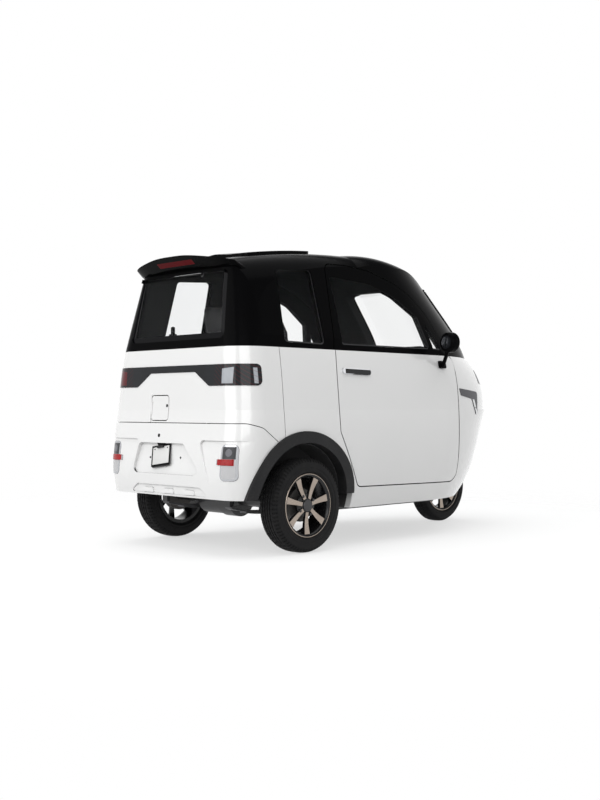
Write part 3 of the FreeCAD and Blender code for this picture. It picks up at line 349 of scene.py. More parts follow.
@dataclass(frozen=True)
class Glazing(Look):
    """A pane that is seen through, with reflections that grow towards its rim."""

    tint: Point
    haze: float = 0.03
    body: Point = (0.01, 0.012, 0.013)
    film: Pair = (9.0, 4.0)
    shine: float = 0.012
    rim_shine: float = 0.8

    def sockets(self, t: Tree) -> dict:
        """The reflecting film."""
        film = t.noise(*self.film)
        return {
            "Base Color": t.mix(film, self.body, times(self.body, 1.6)),
            "Roughness": 0.02 + film * 0.02,
            "Specular IOR Level": 1.0,
            "IOR": 1.6,
        }

    def shader(self, t: Tree) -> Socket:
        """The film over a clear pane."""
        facing = Signal(t, t.node("ShaderNodeLayerWeight", {}, {"Blend": 0.5}).outputs["Facing"])
        clear = t.node("ShaderNodeBsdfTransparent", {}, {"Color": self.tint}).outputs[0]
        share = facing ** 4.0 * self.rim_shine + t.noise(*self.film) * self.haze + self.shine
        return t.blend(share.least(1.0), clear, t.surface(self.sockets(t)))


@dataclass(frozen=True)
class Rubber(Look):
    """Tyre rubber with a fine mould texture and a little road dust."""

    colour: Point = (0.008, 0.008, 0.0085)
    dust: Point = (0.06, 0.057, 0.054)
    dust_share: float = 0.22

    def sockets(self, t: Tree) -> dict:
        """Black rubber with dust where the grime lies."""
        grime = t.noise(24.0, 5.0)
        fine = t.noise(600.0, 3.0)
        share = (grime * 0.6 + fine * 0.4).rise(0.45, 0.75) * self.dust_share
        return {
            "Base Color": t.mix(share, self.colour, self.dust),
            "Roughness": 0.62 + grime * 0.2,
            "Specular IOR Level": 0.2,
            "Normal": t.bump(fine, 0.0002),
        }


@dataclass(frozen=True)
class TurnedMetal(Look):
    """Machined metal with fine turning marks round a wheel's axle."""

    axle: Point
    colour: Point = (0.42, 0.36, 0.31)
    second: Point = (0.30, 0.25, 0.21)
    roughness: float = 0.22
    pitch: float = 0.0011

    def sockets(self, t: Tree) -> dict:
        """Bare metal with rings at the pitch of the turning tool."""
        x, _, z = t.axes(t.place(tuple(-c for c in self.axle)))
        marks = ((x * x + z * z) ** 0.5).wave(self.pitch) * 0.5 + 0.5
        cloud = t.noise(16.0, 3.0)
        return {
            "Base Color": t.mix(cloud, self.colour, self.second),
            "Metallic": 1.0,
            "Roughness": self.roughness + cloud * 0.12,
            "Normal": t.bump(marks * (0.4 + cloud * 0.6), 0.00002),
        }


@dataclass(frozen=True)
class CoverCloth(Look):
    """Black seat cover: a soft grained artificial leather with lighter grain."""

    colour: Point = (0.018, 0.018, 0.019)
    light: Point = (0.05, 0.05, 0.052)

    def sockets(self, t: Tree) -> dict:
        """Grain and shallow folds."""
        cloud = t.noise(7.0, 4.0)
        grain = t.cells(620.0)
        return {
            "Base Color": t.mix((cloud * 0.6 + grain * 0.5).least(1.0), self.colour, self.light),
            "Roughness": 0.48 + cloud * 0.2,
            "Normal": t.bump(grain * 0.7 + t.noise(45.0, 4.0) * 0.8, 0.0006),
        }


@dataclass(frozen=True)
class TailLens(Look):
    """The smoked tail band: a dark gloss cover over red light guides, with pale softbox reflections painted on
    the right lamp and at the band's ends.

    Each edge is a pair of places, where a smooth step starts and where it ends.
    """

    dark: Point = (0.008, 0.009, 0.011)
    red: Point = (0.16, 0.008, 0.012)
    # pale is the colour of the painted softbox reflections, not of a part of the lamp
    pale: Point = (0.42, 0.44, 0.47)
    lamp_edge: Pair = (0.235, 0.30)
    low_edge: Pair = (0.871, 0.875)
    plate_sides: tuple[Pair, Pair] = ((0.398, 0.402), (0.468, 0.472))
    plate_top: Pair = (0.905, 0.909)
    plate_slope: float = 0.10
    # end_sides and end_top bound a painted reflection at the band's ends; on the right side the plate edges
    # bound a painted reflection too
    end_sides: tuple[Pair, Pair] = ((-1.170, -1.166), (-1.149, -1.146))
    end_top: Pair = (0.949, 0.953)
    block_side: Pair = (0.482, 0.486)
    block_front: Pair = (-1.186, -1.182)
    block_levels: tuple[Pair, Pair] = ((0.884, 0.888), (0.936, 0.940))
    guide_edge: Pair = (0.33, 0.36)
    guide_pitch: float = 0.022
    rib_pitch: float = 0.006

    def sockets(self, t: Tree) -> dict:
        """The cover with what shows through it, and the painted pale reflections on it."""
        x, y, z = t.axes(t.place())
        out, left = abs(y), y.rise(0.0, 0.01)
        ribs = (z.wave(self.rib_pitch) * 0.5 + 0.5) * out.rise(*self.lamp_edge)
        under = 1.0 - (z - out * self.plate_slope).rise(*self.plate_top)
        plate = out.band(*self.plate_sides) * z.rise(*self.low_edge) * under
        end = x.band(*self.end_sides) * z.band(self.low_edge, self.end_top)
        block = out.rise(*self.block_side) * (1.0 - x.rise(*self.block_front)) * z.band(*self.block_levels)
        block = block.most(plate) * left
        # painted reflection: the pale colour where a softbox would reflect, on the right lamp and at the band's
        # ends, a little uneven
        mirror = (plate * (1.0 - left)).most(end) * (0.75 + t.noise(14.0, 2.0) * 0.35)
        lines = (out * 0.8 + z).wave(self.guide_pitch).rise(0.86, 0.98)
        guide = lines * out.rise(*self.guide_edge) * (1.0 - plate)
        # the painted reflection is laid over the dark cover here
        base = t.mix(mirror, t.mix(ribs * 0.5, self.dark, times(self.dark, 2.2)), self.pale)
        lit = (guide * 0.35 + block * (0.35 + ribs * 0.5)).least(1.0)
        return {
            "Base Color": t.mix(lit, base, self.red),
            "Roughness": 0.07 + t.noise(30.0) * 0.03,
            "Specular IOR Level": 0.22,
            "Normal": t.bump(ribs * 0.6 + guide, 0.00004),
        }


@dataclass(frozen=True)
class LowerLens(Look):
    """A lower lamp: silver housing, smoked upper half, red bar and a ribbed clear lower half."""

    middle: Pair = (0.474, 0.478)
    half: Pair = (0.050, 0.090)
    bezel: float = 0.011
    bar: Pair = (0.464, 0.496)
    bar_sides: tuple[Pair, Pair] = ((0.403, 0.4045), (0.505, 0.507))
    line: float = 0.001
    bulb_height: float = 0.528
    bulb_edge: Pair = (0.017, 0.021)
    rib_pitch: float = 0.005
    smoke: tuple[Point, Point] = ((0.028, 0.029, 0.033), (0.16, 0.16, 0.18))
    clear: tuple[Point, Point] = ((0.42, 0.42, 0.43), (0.62, 0.62, 0.63))
    housing: Point = (0.50, 0.51, 0.53)
    red: tuple[Point, Point] = ((0.52, 0.006, 0.010), (0.30, 0.004, 0.006))

    def sockets(self, t: Tree) -> dict:
        """The lamp's fields, told apart by their place."""
        _, y, z = t.axes(t.place())
        out = abs(y)
        across, up = abs(out - self.middle[0]) - self.half[0], abs(z - self.middle[1]) - self.half[1]
        inside = 1.0 - across.most(up).rise(-self.bezel - self.line, -self.bezel + self.line)
        low, high = self.bar
        ribs = out.wave(self.rib_pitch) * 0.5 + 0.5
        bulb = ((out - self.middle[0]) ** 2.0 + (z - self.bulb_height) ** 2.0) ** 0.5
        smoked = t.mix((1.0 - bulb.rise(*self.bulb_edge)) * (0.5 + ribs * 0.5), *self.smoke)
        window = t.mix(z.rise(high - self.line, high + self.line), t.mix(ribs, *self.clear), smoked)
        bar = z.band((low - self.line, low + self.line / 2), (high - self.line, high))
        red = bar * out.band(*self.bar_sides)
        cells = t.cells(240.0)
        housing = t.mix(inside, self.housing, window)
        return {
            "Base Color": t.mix(red, housing, t.mix(cells.rise(0.1, 0.6), *self.red)),
            "Metallic": (1.0 - inside) * (1.0 - red) * 0.7,
            "Roughness": 0.12 + ribs * 0.05,
            "Specular IOR Level": 0.3,
            "Normal": t.bump(ribs * inside + cells * red, 0.0002),
        }


@dataclass(frozen=True)
class HandleFace(Look):
    """A door handle: a dark gloss inlay in a bright rim that is wider at the rear end."""

    inlay: Point = (0.008, 0.008, 0.009)
    rim: Point = (0.75, 0.76, 0.78)
    front: float = -0.425
    slope: float = -0.018
    top_edge: Pair = (0.9590, 0.9600)
    low_edge: Pair = (0.9335, 0.9345)
    low_end: Pair = (-0.47, -0.44)
    rear_edge: Pair = (-0.519, -0.517)

    def sockets(self, t: Tree) -> dict:
        """The rim above, behind and partly below the inlay."""
        x, _, z = t.axes(t.place())
        level = z - (x - self.front) * self.slope
        low = (1.0 - level.rise(*self.low_edge)) * (1.0 - x.rise(*self.low_end))
        bright = level.rise(*self.top_edge).most(1.0 - x.rise(*self.rear_edge)).most(low)
        wear = t.noise(90.0, 3.0)
        return {
            "Base Color": t.mix(bright, self.inlay, self.rim),
            "Metallic": bright,
            "Roughness": 0.10 + wear * 0.08,
            "Specular IOR Level": 0.3,
            "Normal": t.bump(wear, 0.00004),
        }


@dataclass(frozen=True)
class VentFace(Look):
    """A fender vent: a dark grained frame with a silver insert down its leg."""

    frame: tuple[Point, Point] = ((0.035, 0.035, 0.040), (0.09, 0.09, 0.10))
    silver: Point = (0.74, 0.75, 0.76)
    gap: Point = (0.12, 0.12, 0.13)
    lean: float = 0.596
    leg: tuple[Pair, Pair] = ((1.146, 1.149), (1.176, 1.179))
    leg_top: Pair = (0.800, 0.806)
    split: float = 0.752
    split_half: float = 0.004

    def sockets(self, t: Tree) -> dict:
        """The frame, the insert and the gap across it."""
        x, _, z = t.axes(t.place())
        insert = (x + z * self.lean).band(*self.leg) * (1.0 - z.rise(*self.leg_top))
        split = insert * (1.0 - (abs(z - self.split) - self.split_half).rise(0.0, 0.001))
        mesh = t.cells(160.0)
        return {
            "Base Color": t.mix(split, t.mix(insert, t.mix(mesh, *self.frame), self.silver), self.gap),
            "Metallic": insert * 0.4,
            "Roughness": 0.45 - insert * 0.25 + mesh * 0.1,
            "Coat Weight": insert * 0.6,
            "Normal": t.bump(mesh * (1.0 - insert), 0.0006),
        }


class Finish(Enum):
    """The finishes of the vehicle."""

    WHITE = Lacquer("white_paint", (0.80, 0.80, 0.795), (0.022, 0.022, 0.023))
    BLACK = Lacquer("black_gloss", (0.003, 0.003, 0.0033), (0.045, 0.045, 0.047), 0.14, 0.0, 0.012)
    BLACK_TRIM = Lacquer("black_trim", (0.003, 0.003, 0.0033), (0.003, 0.003, 0.0033), 0.16, 0.0, 0.02)
    CLEAR = Glazing("clear_glass", (0.997, 0.999, 0.999), 0.006)
    DARK = Glazing("dark_glass", (0.985, 0.988, 0.99), 0.02)
    SMOKE = Glazing("smoked_cover", (0.22, 0.22, 0.235), 0.05)
    GRAINED = Moulded("grained_plastic", (0.010, 0.010, 0.011), 0.55, specular=0.25)
    SATIN = Moulded("satin_plastic", (0.007, 0.007, 0.008), 0.32, 500.0, 0.00002, specular=0.25)
    LINING = Moulded("floor_lining", (0.02, 0.02, 0.021), 0.8, 420.0, 0.0004)
    CHASSIS = Moulded("chassis_paint", (0.018, 0.018, 0.02), 0.42, 160.0, 0.0001, coat=0.2)
    CASTING = Moulded("cast_iron", (0.10, 0.095, 0.09), 0.55, 520.0, 0.0005, 0.3, 0.7)
    SPRING = Moulded("spring_steel", (0.11, 0.11, 0.115), 0.45, 260.0, 0.0001, 0.3, 0.6)
    RED = Moulded("red_cover", (0.13, 0.003, 0.006), 0.2, 240.0, 0.00012, 0.1, specular=0.03, dust_share=0.0)
    PLATE = Moulded("plate_white", (0.70, 0.70, 0.69), 0.35, 120.0, 0.00001, 0.03, dust_share=0.05)
    SEAL = Moulded("rubber_seal", (0.022, 0.022, 0.024), 0.55, 500.0, 0.00003, specular=0.3)
    GLASS_EDGE = Moulded("printed_glass_edge", (0.004, 0.004, 0.005), 0.14, 900.0, 0.000004, specular=0.06,
                         dust_share=0.0)
    MIRROR = Moulded("mirror_glass", (0.035, 0.037, 0.042), 0.05, 200.0, 0.000002, 0.1, 0.6, dust_share=0.0)
    WHEEL_BLACK = Moulded("wheel_black", (0.006, 0.006, 0.0065), 0.22, 700.0, 0.00001, specular=0.35,
                          dust_share=0.06)
    DARK_STEEL = Moulded("dark_steel", (0.06, 0.06, 0.062), 0.35, 300.0, 0.00005, 0.3, 0.8)
    DISPLAY = Moulded("display_glass", (0.012, 0.014, 0.018), 0.06, 150.0, 0.000002, 0.3, coat=0.5,
                      dust_share=0.0)
    TYRE = Rubber("tyre_rubber")
    SEAT = CoverCloth("seat_cover")
    TAIL_LENS = TailLens("tail_lens")
    LOWER_LENS = LowerLens("lower_lens")
    HANDLE = HandleFace("handle_face")
    VENT = VentFace("vent_face")
    MACHINED_RIGHT = TurnedMetal("machined_right", tuple(REAR_AXLE))
    MACHINED_FRONT = TurnedMetal("machined_front", tuple(FRONT_AXLE))


def add_object(name: str, data: bpy.types.ID) -> bpy.types.Object:
    """Adds an object with that data to the scene."""
    obj = bpy.data.objects.new(name, data)
    bpy.context.scene.collection.objects.link(obj)
    return obj


def add_mesh(name: str, mesh: Shape) -> bpy.types.Object:
    """Adds an object with that shape to the scene, and frees the shape."""
    data = bpy.data.meshes.new(name)
    mesh.to_mesh(data)
    mesh.free()
    return add_object(name, data)


def world_mesh(node: bpy.types.Object) -> Shape:
    """A node's mesh in the world's frame."""
    mesh = bmesh.new()
    mesh.from_mesh(node.data)
    mesh.transform(node.matrix_world)
    return mesh


def bake(obj: bpy.types.Object) -> bpy.types.Mesh:
    """The mesh that an object's modifiers make of it; they are removed."""
    made = bpy.data.meshes.new_from_object(obj.evaluated_get(bpy.context.evaluated_depsgraph_get()))
    obj.modifiers.clear()
    return made


def aimed(way: Vector, track: str, up: str) -> Matrix:
    """A turn that points the axis named track along a way."""
    return way.to_track_quat(track, up).to_matrix().to_4x4()
def dress(obj: bpy.types.Object, *materials: bpy.types.Material) -> None:
    """Gives an object these materials, for its faces' material numbers in order."""
    slots = obj.data.materials
    if slots:
        slots.clear()
    for material in materials:
        slots.append(material)


@dataclass
class Part:
    """What every sub-assembly shares: the frame's nodes and the making of pieces."""

    nodes: dict[str, bpy.types.Object]

    def finish_nodes(self, table: dict[Finish, Sequence[str]]) -> None:
        """Gives CAD nodes their finish.

        Args:
            table: the node names for each finish.
        """
        for finish, names in table.items():
            for name in names:
                dress(self.nodes[name], finish.value.material)
                LOG.info("node %s: %s", name, finish.value.name)

    def welded(self, name: str) -> Shape:
        """A CAD node's mesh in the world's frame, with the corners of its faces joined."""
        mesh = world_mesh(self.nodes[name])
        bmesh.ops.remove_doubles(mesh, verts=mesh.verts, dist=1e-5)
        return mesh

    def piece(self, name: str, mesh: Shape, body: str, slot: str, finishes: Sequence[Finish],
              replaces: Sequence[str] = (), smooth: float | None = 40.0) -> bpy.types.Object:
        """Turns a bmesh into a finished piece that rides on a body.

        Args:
            name: the piece's name.
            mesh: its shape; it is freed here.
            body: the CAD body that carries it.
            slot: the record's material slot; not used.
            finishes: its finishes in order of face material number.
            replaces: the CAD nodes that it stands for.
            smooth: the angle in degrees over which an edge stays sharp, or None for flat faces.

        Returns:
            The new object.
        """
        obj = add_mesh(name, mesh)
        data = obj.data
        if smooth is not None:
            data.shade_smooth()
            data.set_sharp_from_angle(angle=math.radians(smooth))
        dress(obj, *(finish.value.material for finish in finishes))
        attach(obj, body)
        if replaces:
            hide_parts(*replaces)
        LOG.info("piece %s: %d faces on %s", name, len(data.polygons), body)
        return obj


@dataclass(frozen=True)
class Softbox:
    """One soft lamp."""

    name: str
    place: Point
    aim: Point
    size: tuple[float, float]
    power: float

    def build(self) -> None:
        """Hangs the lamp in the scene."""
        data = bpy.data.lights.new(self.name, "AREA")
        data.shape = "RECTANGLE"
        data.size, data.size_y = self.size
        data.energy = self.power
        obj = add_object(self.name, data)
        obj.location = self.place
        obj.rotation_euler = (Vector(self.aim) - Vector(self.place)).to_track_quat("-Z", "Y").to_euler()


@dataclass
class Studio:
    """The floor, the backdrop, the lamps and the camera."""

    eye: Point = (-4.88, -4.62, 0.75)
    yaw: float = 45.3
    pitch: float = 0.41
    lens: float = 49.95
    floor_size: float = 30.0
    floor_fade: Pair = (1.9, 4.2)
    floor_clear: Pair = (0.60, 1.0)
    ambient: float = 0.72
    ground_light: Point = (0.26, 0.26, 0.26)
    sky_light: Point = (0.99, 0.995, 1.0)
    sky_rise: Pair = (-0.35, 0.45)
    ceiling: Point = (0.10, 0.10, 0.105)
    ceiling_rise: Pair = (0.36, 0.62)
    lamps: tuple[Softbox, ...] = (
        Softbox("lamp_tail", (-6.0, 1.0, 2.8), (-0.6, 0.0, 0.7), (5.0, 4.0), 138.0),
        Softbox("lamp_top", (0.0, 0.0, 5.0), (0.0, 0.0, 0.0), (6.0, 6.0), 150.0),
        Softbox("lamp_side", (-4.8, -4.6, 3.0), (-0.5, 0.0, 0.7), (4.0, 3.0), 88.0),
    )

    def build(self) -> None:
        """Makes the whole studio."""
        for lamp in self.lamps:
            lamp.build()
        self.build_world()
        self.build_floor()
        self.build_camera()

    def build_world(self) -> None:
        """Grey light all round, which the camera, gloss and glass see as white."""
        world = bpy.data.worlds.new("studio")
        bpy.context.scene.world = world
        t = Tree(world)
        path = t.node("ShaderNodeLightPath").outputs
        rays = [Signal(t, path[kind]) for kind in ("Is Camera Ray", "Is Glossy Ray", "Is Transmission Ray")]
        seen = rays[0].most(rays[1]).most(rays[2])
        _, _, up = t.axes(t.node("ShaderNodeTexCoord").outputs["Generated"])
        white = t.mix(up.rise(*self.ceiling_rise), (1.0, 1.0, 1.0), self.ceiling)
        sky = t.mix(up.rise(*self.sky_rise), self.ground_light, self.sky_light)
        light = t.node("ShaderNodeBackground", {}, {"Color": sky, "Strength": self.ambient}).outputs[0]
        backdrop = t.node("ShaderNodeBackground", {}, {"Color": white, "Strength": 1.0}).outputs[0]
        t.node("ShaderNodeOutputWorld", {}, {"Surface": t.blend(seen, light, backdrop)})

    def build_floor(self) -> None:
        """A pale floor that fades into the backdrop away from the vehicle."""
        mesh = bmesh.new()
        bmesh.ops.create_circle(mesh, cap_ends=True, segments=96, radius=self.floor_size / 2)
        floor = add_mesh("studio_floor", mesh)
        material = bpy.data.materials.new("studio_floor")
        t = Tree(material)
        x, y, _ = t.axes(t.place())
        far = ((x * x + y * y) ** 0.5 + t.noise(0.6) * 0.3).rise(*self.floor_fade)
        ground = t.surface({"Base Color": t.mix(t.noise(60.0, 3.0), (0.93, 0.93, 0.93), (0.96, 0.96, 0.96)),
                            "Roughness": 0.9, "Specular IOR Level": 0.1})
        open_air = t.node("ShaderNodeBsdfTransparent").outputs[0]
        near, away = self.floor_clear
        clear = (far * (away - near) + near).least(1.0)
        t.node("ShaderNodeOutputMaterial", {}, {"Surface": t.blend(clear, ground, open_air)})
        dress(floor, material)

    def build_camera(self) -> None:
        """The photograph's viewpoint."""
        data = bpy.data.cameras.new("camera")
        data.lens = self.lens
        data.clip_start, data.clip_end = 0.05, 200.0
        camera = add_object("camera", data)
        camera.location = self.eye
        camera.rotation_euler = (math.radians(90.0 + self.pitch), 0.0, math.radians(self.yaw - 90.0))
        bpy.context.scene.camera = camera


@dataclass
class Shell(Part):
    """The painted body, the black top and the trim that keep their own solids."""

    table: dict[Finish, tuple[str, ...]] = field(default_factory=lambda: {
        Finish.WHITE: ("front_body", "quarter_panel_left", "quarter_panel_right", "tail_panel", "rear_bumper",
                       "door_left", "door_right", "charge_flap"),
        Finish.BLACK: ("cabin_top", "door_frame_left", "door_frame_right"),
        Finish.BLACK_TRIM: ("roof_spoiler", "sunroof_panel", "mirror_left", "mirror_right"),
        Finish.CLEAR: ("windscreen", "quarter_glass_left", "quarter_glass_right", "door_glass_left",
                       "door_glass_right"),
        Finish.DARK: ("rear_window",),
        Finish.GRAINED: ("arch_trims", "charge_socket", "dash_panel", "handlebar", "battery_block"),
        Finish.LINING: ("floor_pan", "wheel_houses", "front_well_liner"),
        Finish.CHASSIS: ("chassis_frame", "rear_axle", "front_fork"),
        Finish.CASTING: ("rear_drums",),
        Finish.SPRING: ("rear_springs",),
        Finish.VENT: ("fender_vents",),
        Finish.HANDLE: ("door_handle_left", "door_handle_right"),
        Finish.TAIL_LENS: ("tail_lamp_band",),
        Finish.SMOKE: ("headlamps",),
        Finish.LOWER_LENS: ("lower_lamps",),
        Finish.RED: ("high_brake_lamp",),
        Finish.SATIN: ("number_plate",),
    })

    def build(self) -> None:
        """Gives every carried-over node its finish."""
        self.finish_nodes(self.table)


class Forge:
    """Shapes that several sub-assemblies make."""

    @staticmethod
    def lathe(profile: Sequence[Pair], centre: Vector, segments: int, closed: bool = True) -> Shape:
        """Turns a profile round a line along Y.

        Args:
            profile: points as (radius, y) from the centre.
            centre: the middle of the shape.
            segments: the number of steps round.
            closed: whether the last point joins the first.

        Returns:
            The turned mesh with its faces outwards.
        """
        mesh = bmesh.new()
        dots = [mesh.verts.new(centre + Vector((r, y, 0.0))) for r, y in profile]
        pairs = list(zip(dots, dots[1:])) + ([(dots[-1], dots[0])] if closed else [])
        edges = [mesh.edges.new(pair) for pair in pairs]
        bmesh.ops.spin(mesh, geom=dots + edges, cent=centre, axis=(0.0, 1.0, 0.0), angle=2.0 * math.pi,
                       steps=segments, use_merge=True, use_duplicate=False)
        bmesh.ops.remove_doubles(mesh, verts=mesh.verts, dist=1e-6)
        bmesh.ops.recalc_face_normals(mesh, faces=mesh.faces)
        return mesh

    @staticmethod
    def soften(mesh: Shape, edges: Sequence[bmesh.types.BMEdge], offset: float) -> None:
        """Bevels edges."""
        bmesh.ops.bevel(mesh, geom=edges, offset=offset, segments=2, profile=0.5, affect="EDGES", material=-1)

    @staticmethod
    def put(mesh: Shape, place: Vector, turn: Matrix) -> Shape:
        """Turns a mesh about the origin and moves it to a place."""
        bmesh.ops.transform(mesh, matrix=Matrix.Translation(place) @ turn, verts=mesh.verts)
        return mesh

    @staticmethod
    def knob(radius: float, height: float, place: Vector, axis: Vector, segments: int = 24,
             bevel: float = 0.0015) -> Shape:
        """A short round stud with a bevelled rim, standing on a place along an axis."""
        mesh = bmesh.new()
        bmesh.ops.create_cone(mesh, cap_ends=True, segments=segments, radius1=radius, radius2=radius,
                              depth=height)
        Forge.soften(mesh, [e for e in mesh.edges if all(v.co.z > 0.0 for v in e.verts)], bevel)
        return Forge.put(mesh, place, aimed(axis, "Z", "Y") @ Matrix.Translation((0.0, 0.0, height / 2)))

    @staticmethod
    def block(size: Point, place: Vector, turn: Matrix | None = None, bevel: float = 0.0015) -> Shape:
        """A box with bevelled edges about a place."""
        mesh = bmesh.new()
        bmesh.ops.create_cube(mesh, size=1.0)
        bmesh.ops.scale(mesh, vec=size, verts=mesh.verts)
        Forge.soften(mesh, mesh.edges[:], bevel)
        return Forge.put(mesh, place, turn or Matrix.Identity(4))

    @staticmethod
    def join(meshes: Sequence[Shape]) -> Shape:
        """Puts several meshes into the first one."""
        whole = meshes[0]
        for extra in meshes[1:]:
            data = bpy.data.meshes.new("joining")
            extra.to_mesh(data)
            extra.free()
            whole.from_mesh(data)
            bpy.data.meshes.remove(data)
        return whole

    @staticmethod
    def paint(mesh: Shape, number: int) -> Shape:
        """Gives every face that material number."""
        for face in mesh.faces:
            face.material_index = number
        return mesh


class Probe:
    """Finds places on the surface of a CAD node."""

    def __init__(self, obj: bpy.types.Object) -> None:
        """Reads the node's mesh in the world's frame."""
        mesh = world_mesh(obj)
        self.tree = BVHTree.FromBMesh(mesh)
        mesh.free()

    def hit(self, start: Point, way: Point) -> tuple[Vector, Vector]:
        """The first place on the surface from a start along a way, with the normal towards the start."""
        place, normal, _, _ = self.tree.ray_cast(Vector(start), Vector(way).normalized())
        if place is None:
            raise ValueError(f"nothing lies along {way} from {start}")
        return place, normal if normal.dot(Vector(way)) < 0 else -normal


@dataclass
class RoadWheel(Part):
    """A tyre with a grooved tread on a cast wheel with machined spokes."""

    label: str = "rear_right"
    centre: Vector = field(default_factory=Vector)
    radius: float = 0.247
    width: float = 0.135
    face: int = -1
    machined: Finish = Finish.MACHINED_RIGHT
    bead: float = 0.1525
    flange: float = 0.1665
    spokes: int = 7
    bolts: int = 4
    segments: int = 144
    grooves: tuple[float, ...] = (-0.026, -0.0085, 0.0085, 0.026)
    groove_depth: float = 0.0070
    root: float = 0.036
    tip: float = 0.1485
    spoke_depth: float = 0.017
    bolt_circle: float = 0.0535

    def named(self, thing: str) -> str:
        """The CAD name of a thing on this wheel, such as rear_tyre_right or front_tyre."""
        end, _, side = self.label.partition("_")
        return "_".join(word for word in (end, thing, side) if word)

    def polar(self, face: bmesh.types.BMFace) -> tuple[Vector, float]:
        """A face's middle from the wheel's centre, and its distance from the axle."""
        middle = face.calc_center_median() - self.centre
        return middle, math.hypot(middle.x, middle.z)

    def tyre_profile(self) -> list[Pair]:
        """The tyre's section: bead, side wall with two raised rings, shoulder and a grooved tread."""
        h, r = self.width / 2, self.radius
        wall = [(self.bead, 0.0145), (self.flange + 0.0006, 0.0140), (0.1720, 0.0075), (0.1790, 0.0035),
                (0.1800, 0.0022), (0.1830, 0.0020), (0.1840, 0.0028), (0.1960, 0.0018), (0.1968, 0.0006),
                (0.1990, 0.0006), (0.1998, 0.0020), (0.2110, 0.0034), (r - 0.0230, 0.0060),
                (r - 0.0150, 0.0100), (r - 0.0080, 0.0170), (r - 0.0042, 0.0250)]
        tread = []
        for groove in self.grooves:
            crown = r - 0.0006 - abs(groove) * 0.06
            foot = crown - self.groove_depth
            tread += [(crown, groove - 0.0035), (foot, groove - 0.0026), (foot, groove + 0.0026),
                      (crown, groove + 0.0035)]
        return [(q, inset - h) for q, inset in wall] + tread + [(q, h - inset) for q, inset in wall[::-1]]

    def tyre(self) -> Shape:
        """The tyre with cuts across its shoulders and ribs."""
        mesh = Forge.lathe(self.tyre_profile(), self.centre, self.segments)
        h = self.width / 2
        shoulder, rib = [], []
        for face in mesh.faces:
            middle, r = self.polar(face)
            turn = math.degrees(math.atan2(middle.z, middle.x)) / 360.0
            step = int(round(turn * self.segments - 0.5)) % self.segments
            if r > self.radius - 0.020 and h - 0.022 < abs(middle.y) < h - 0.007 and step % 2 == 0:
                shoulder.append(face)
            elif r > self.radius - 0.0045 and abs(middle.y) < h - 0.030 and step % 3 == int(middle.y > 0):
                rib.append(face)
        bmesh.ops.inset_individual(mesh, faces=shoulder, thickness=0.0016, depth=-0.0032)
        bmesh.ops.inset_individual(mesh, faces=rib, thickness=0.0030, depth=-0.0022)
        return mesh

    def barrel(self) -> Shape:
        """The black barrel with its rolled lips and a thin bright ring at the outer one."""
        lip, f = self.width / 2 - 0.014, self.face
        profile = [(0.146, -lip - 0.006), (0.163, -lip - 0.006), (0.1655, -lip - 0.0045),
                   (0.1655, -lip - 0.0006), (0.1535, -lip + 0.001), (0.1500, -lip + 0.012),
                   (0.1500, lip - 0.012), (0.1535, lip - 0.001), (0.1655, lip + 0.0006),
                   (0.1655, lip + 0.0045), (0.1640, lip + 0.0060), (0.1610, lip + 0.0060),
                   (0.1560, lip + 0.0030), (0.1500, lip - 0.002), (0.146, lip - 0.012), (0.144, lip - 0.030)]
        mesh = Forge.lathe([(r, y * f) for r, y in profile], self.centre, 96)
        for face in mesh.faces:
            middle, r = self.polar(face)
            face.material_index = int(0.1610 < r < 0.1650 and middle.y * f > lip + 0.004)
        return mesh

    def spoke(self) -> Shape:
        """One spoke along +X: dished, wider at the rim, with a machined front."""
        front = self.width / 2 - 0.018
        mesh = bmesh.new()
        bmesh.ops.create_cube(mesh, size=1.0)
        long_edges = [e for e in mesh.edges if abs(e.verts[0].co.x - e.verts[1].co.x) > 0.5]
        bmesh.ops.subdivide_edges(mesh, edges=long_edges, cuts=7, use_grid_fill=True)
        for v in mesh.verts:
            share, ahead_side = v.co.x + 0.5, v.co.y > 0
            half = 0.0105 + 0.0085 * share ** 1.6
            dish = -0.0055 * math.sin(math.pi * min(1.0, share * 1.05)) + 0.001
            ahead = front + dish if ahead_side else front - self.spoke_depth + dish * 0.5
            across = v.co.z * 2.0 * half * (1.0 if ahead_side else 1.12)
            v.co = Vector((self.root + (self.tip - self.root) * share, ahead * self.face, across))
        bmesh.ops.recalc_face_normals(mesh, faces=mesh.faces)
        rims = []
        for e in mesh.edges:
            (_, y0, z0), (_, y1, z1) = e.verts[0].co, e.verts[1].co
            in_front = abs(abs(y0) - front) < 0.008 and abs(abs(y1) - front) < 0.008
            if in_front and abs(abs(z0) - abs(z1)) < 0.004 and abs(z0) > 0.008 and z0 * z1 > 0:
                rims.append(e)
        Forge.soften(mesh, rims, 0.0016)
        mesh.normal_update()
        for face in mesh.faces:
            ahead = face.calc_center_median().y * self.face
            face.material_index = int(ahead > front - 0.0065 and abs(face.normal.y) > 0.9)
        bmesh.ops.translate(mesh, vec=self.centre, verts=mesh.verts)
        return mesh

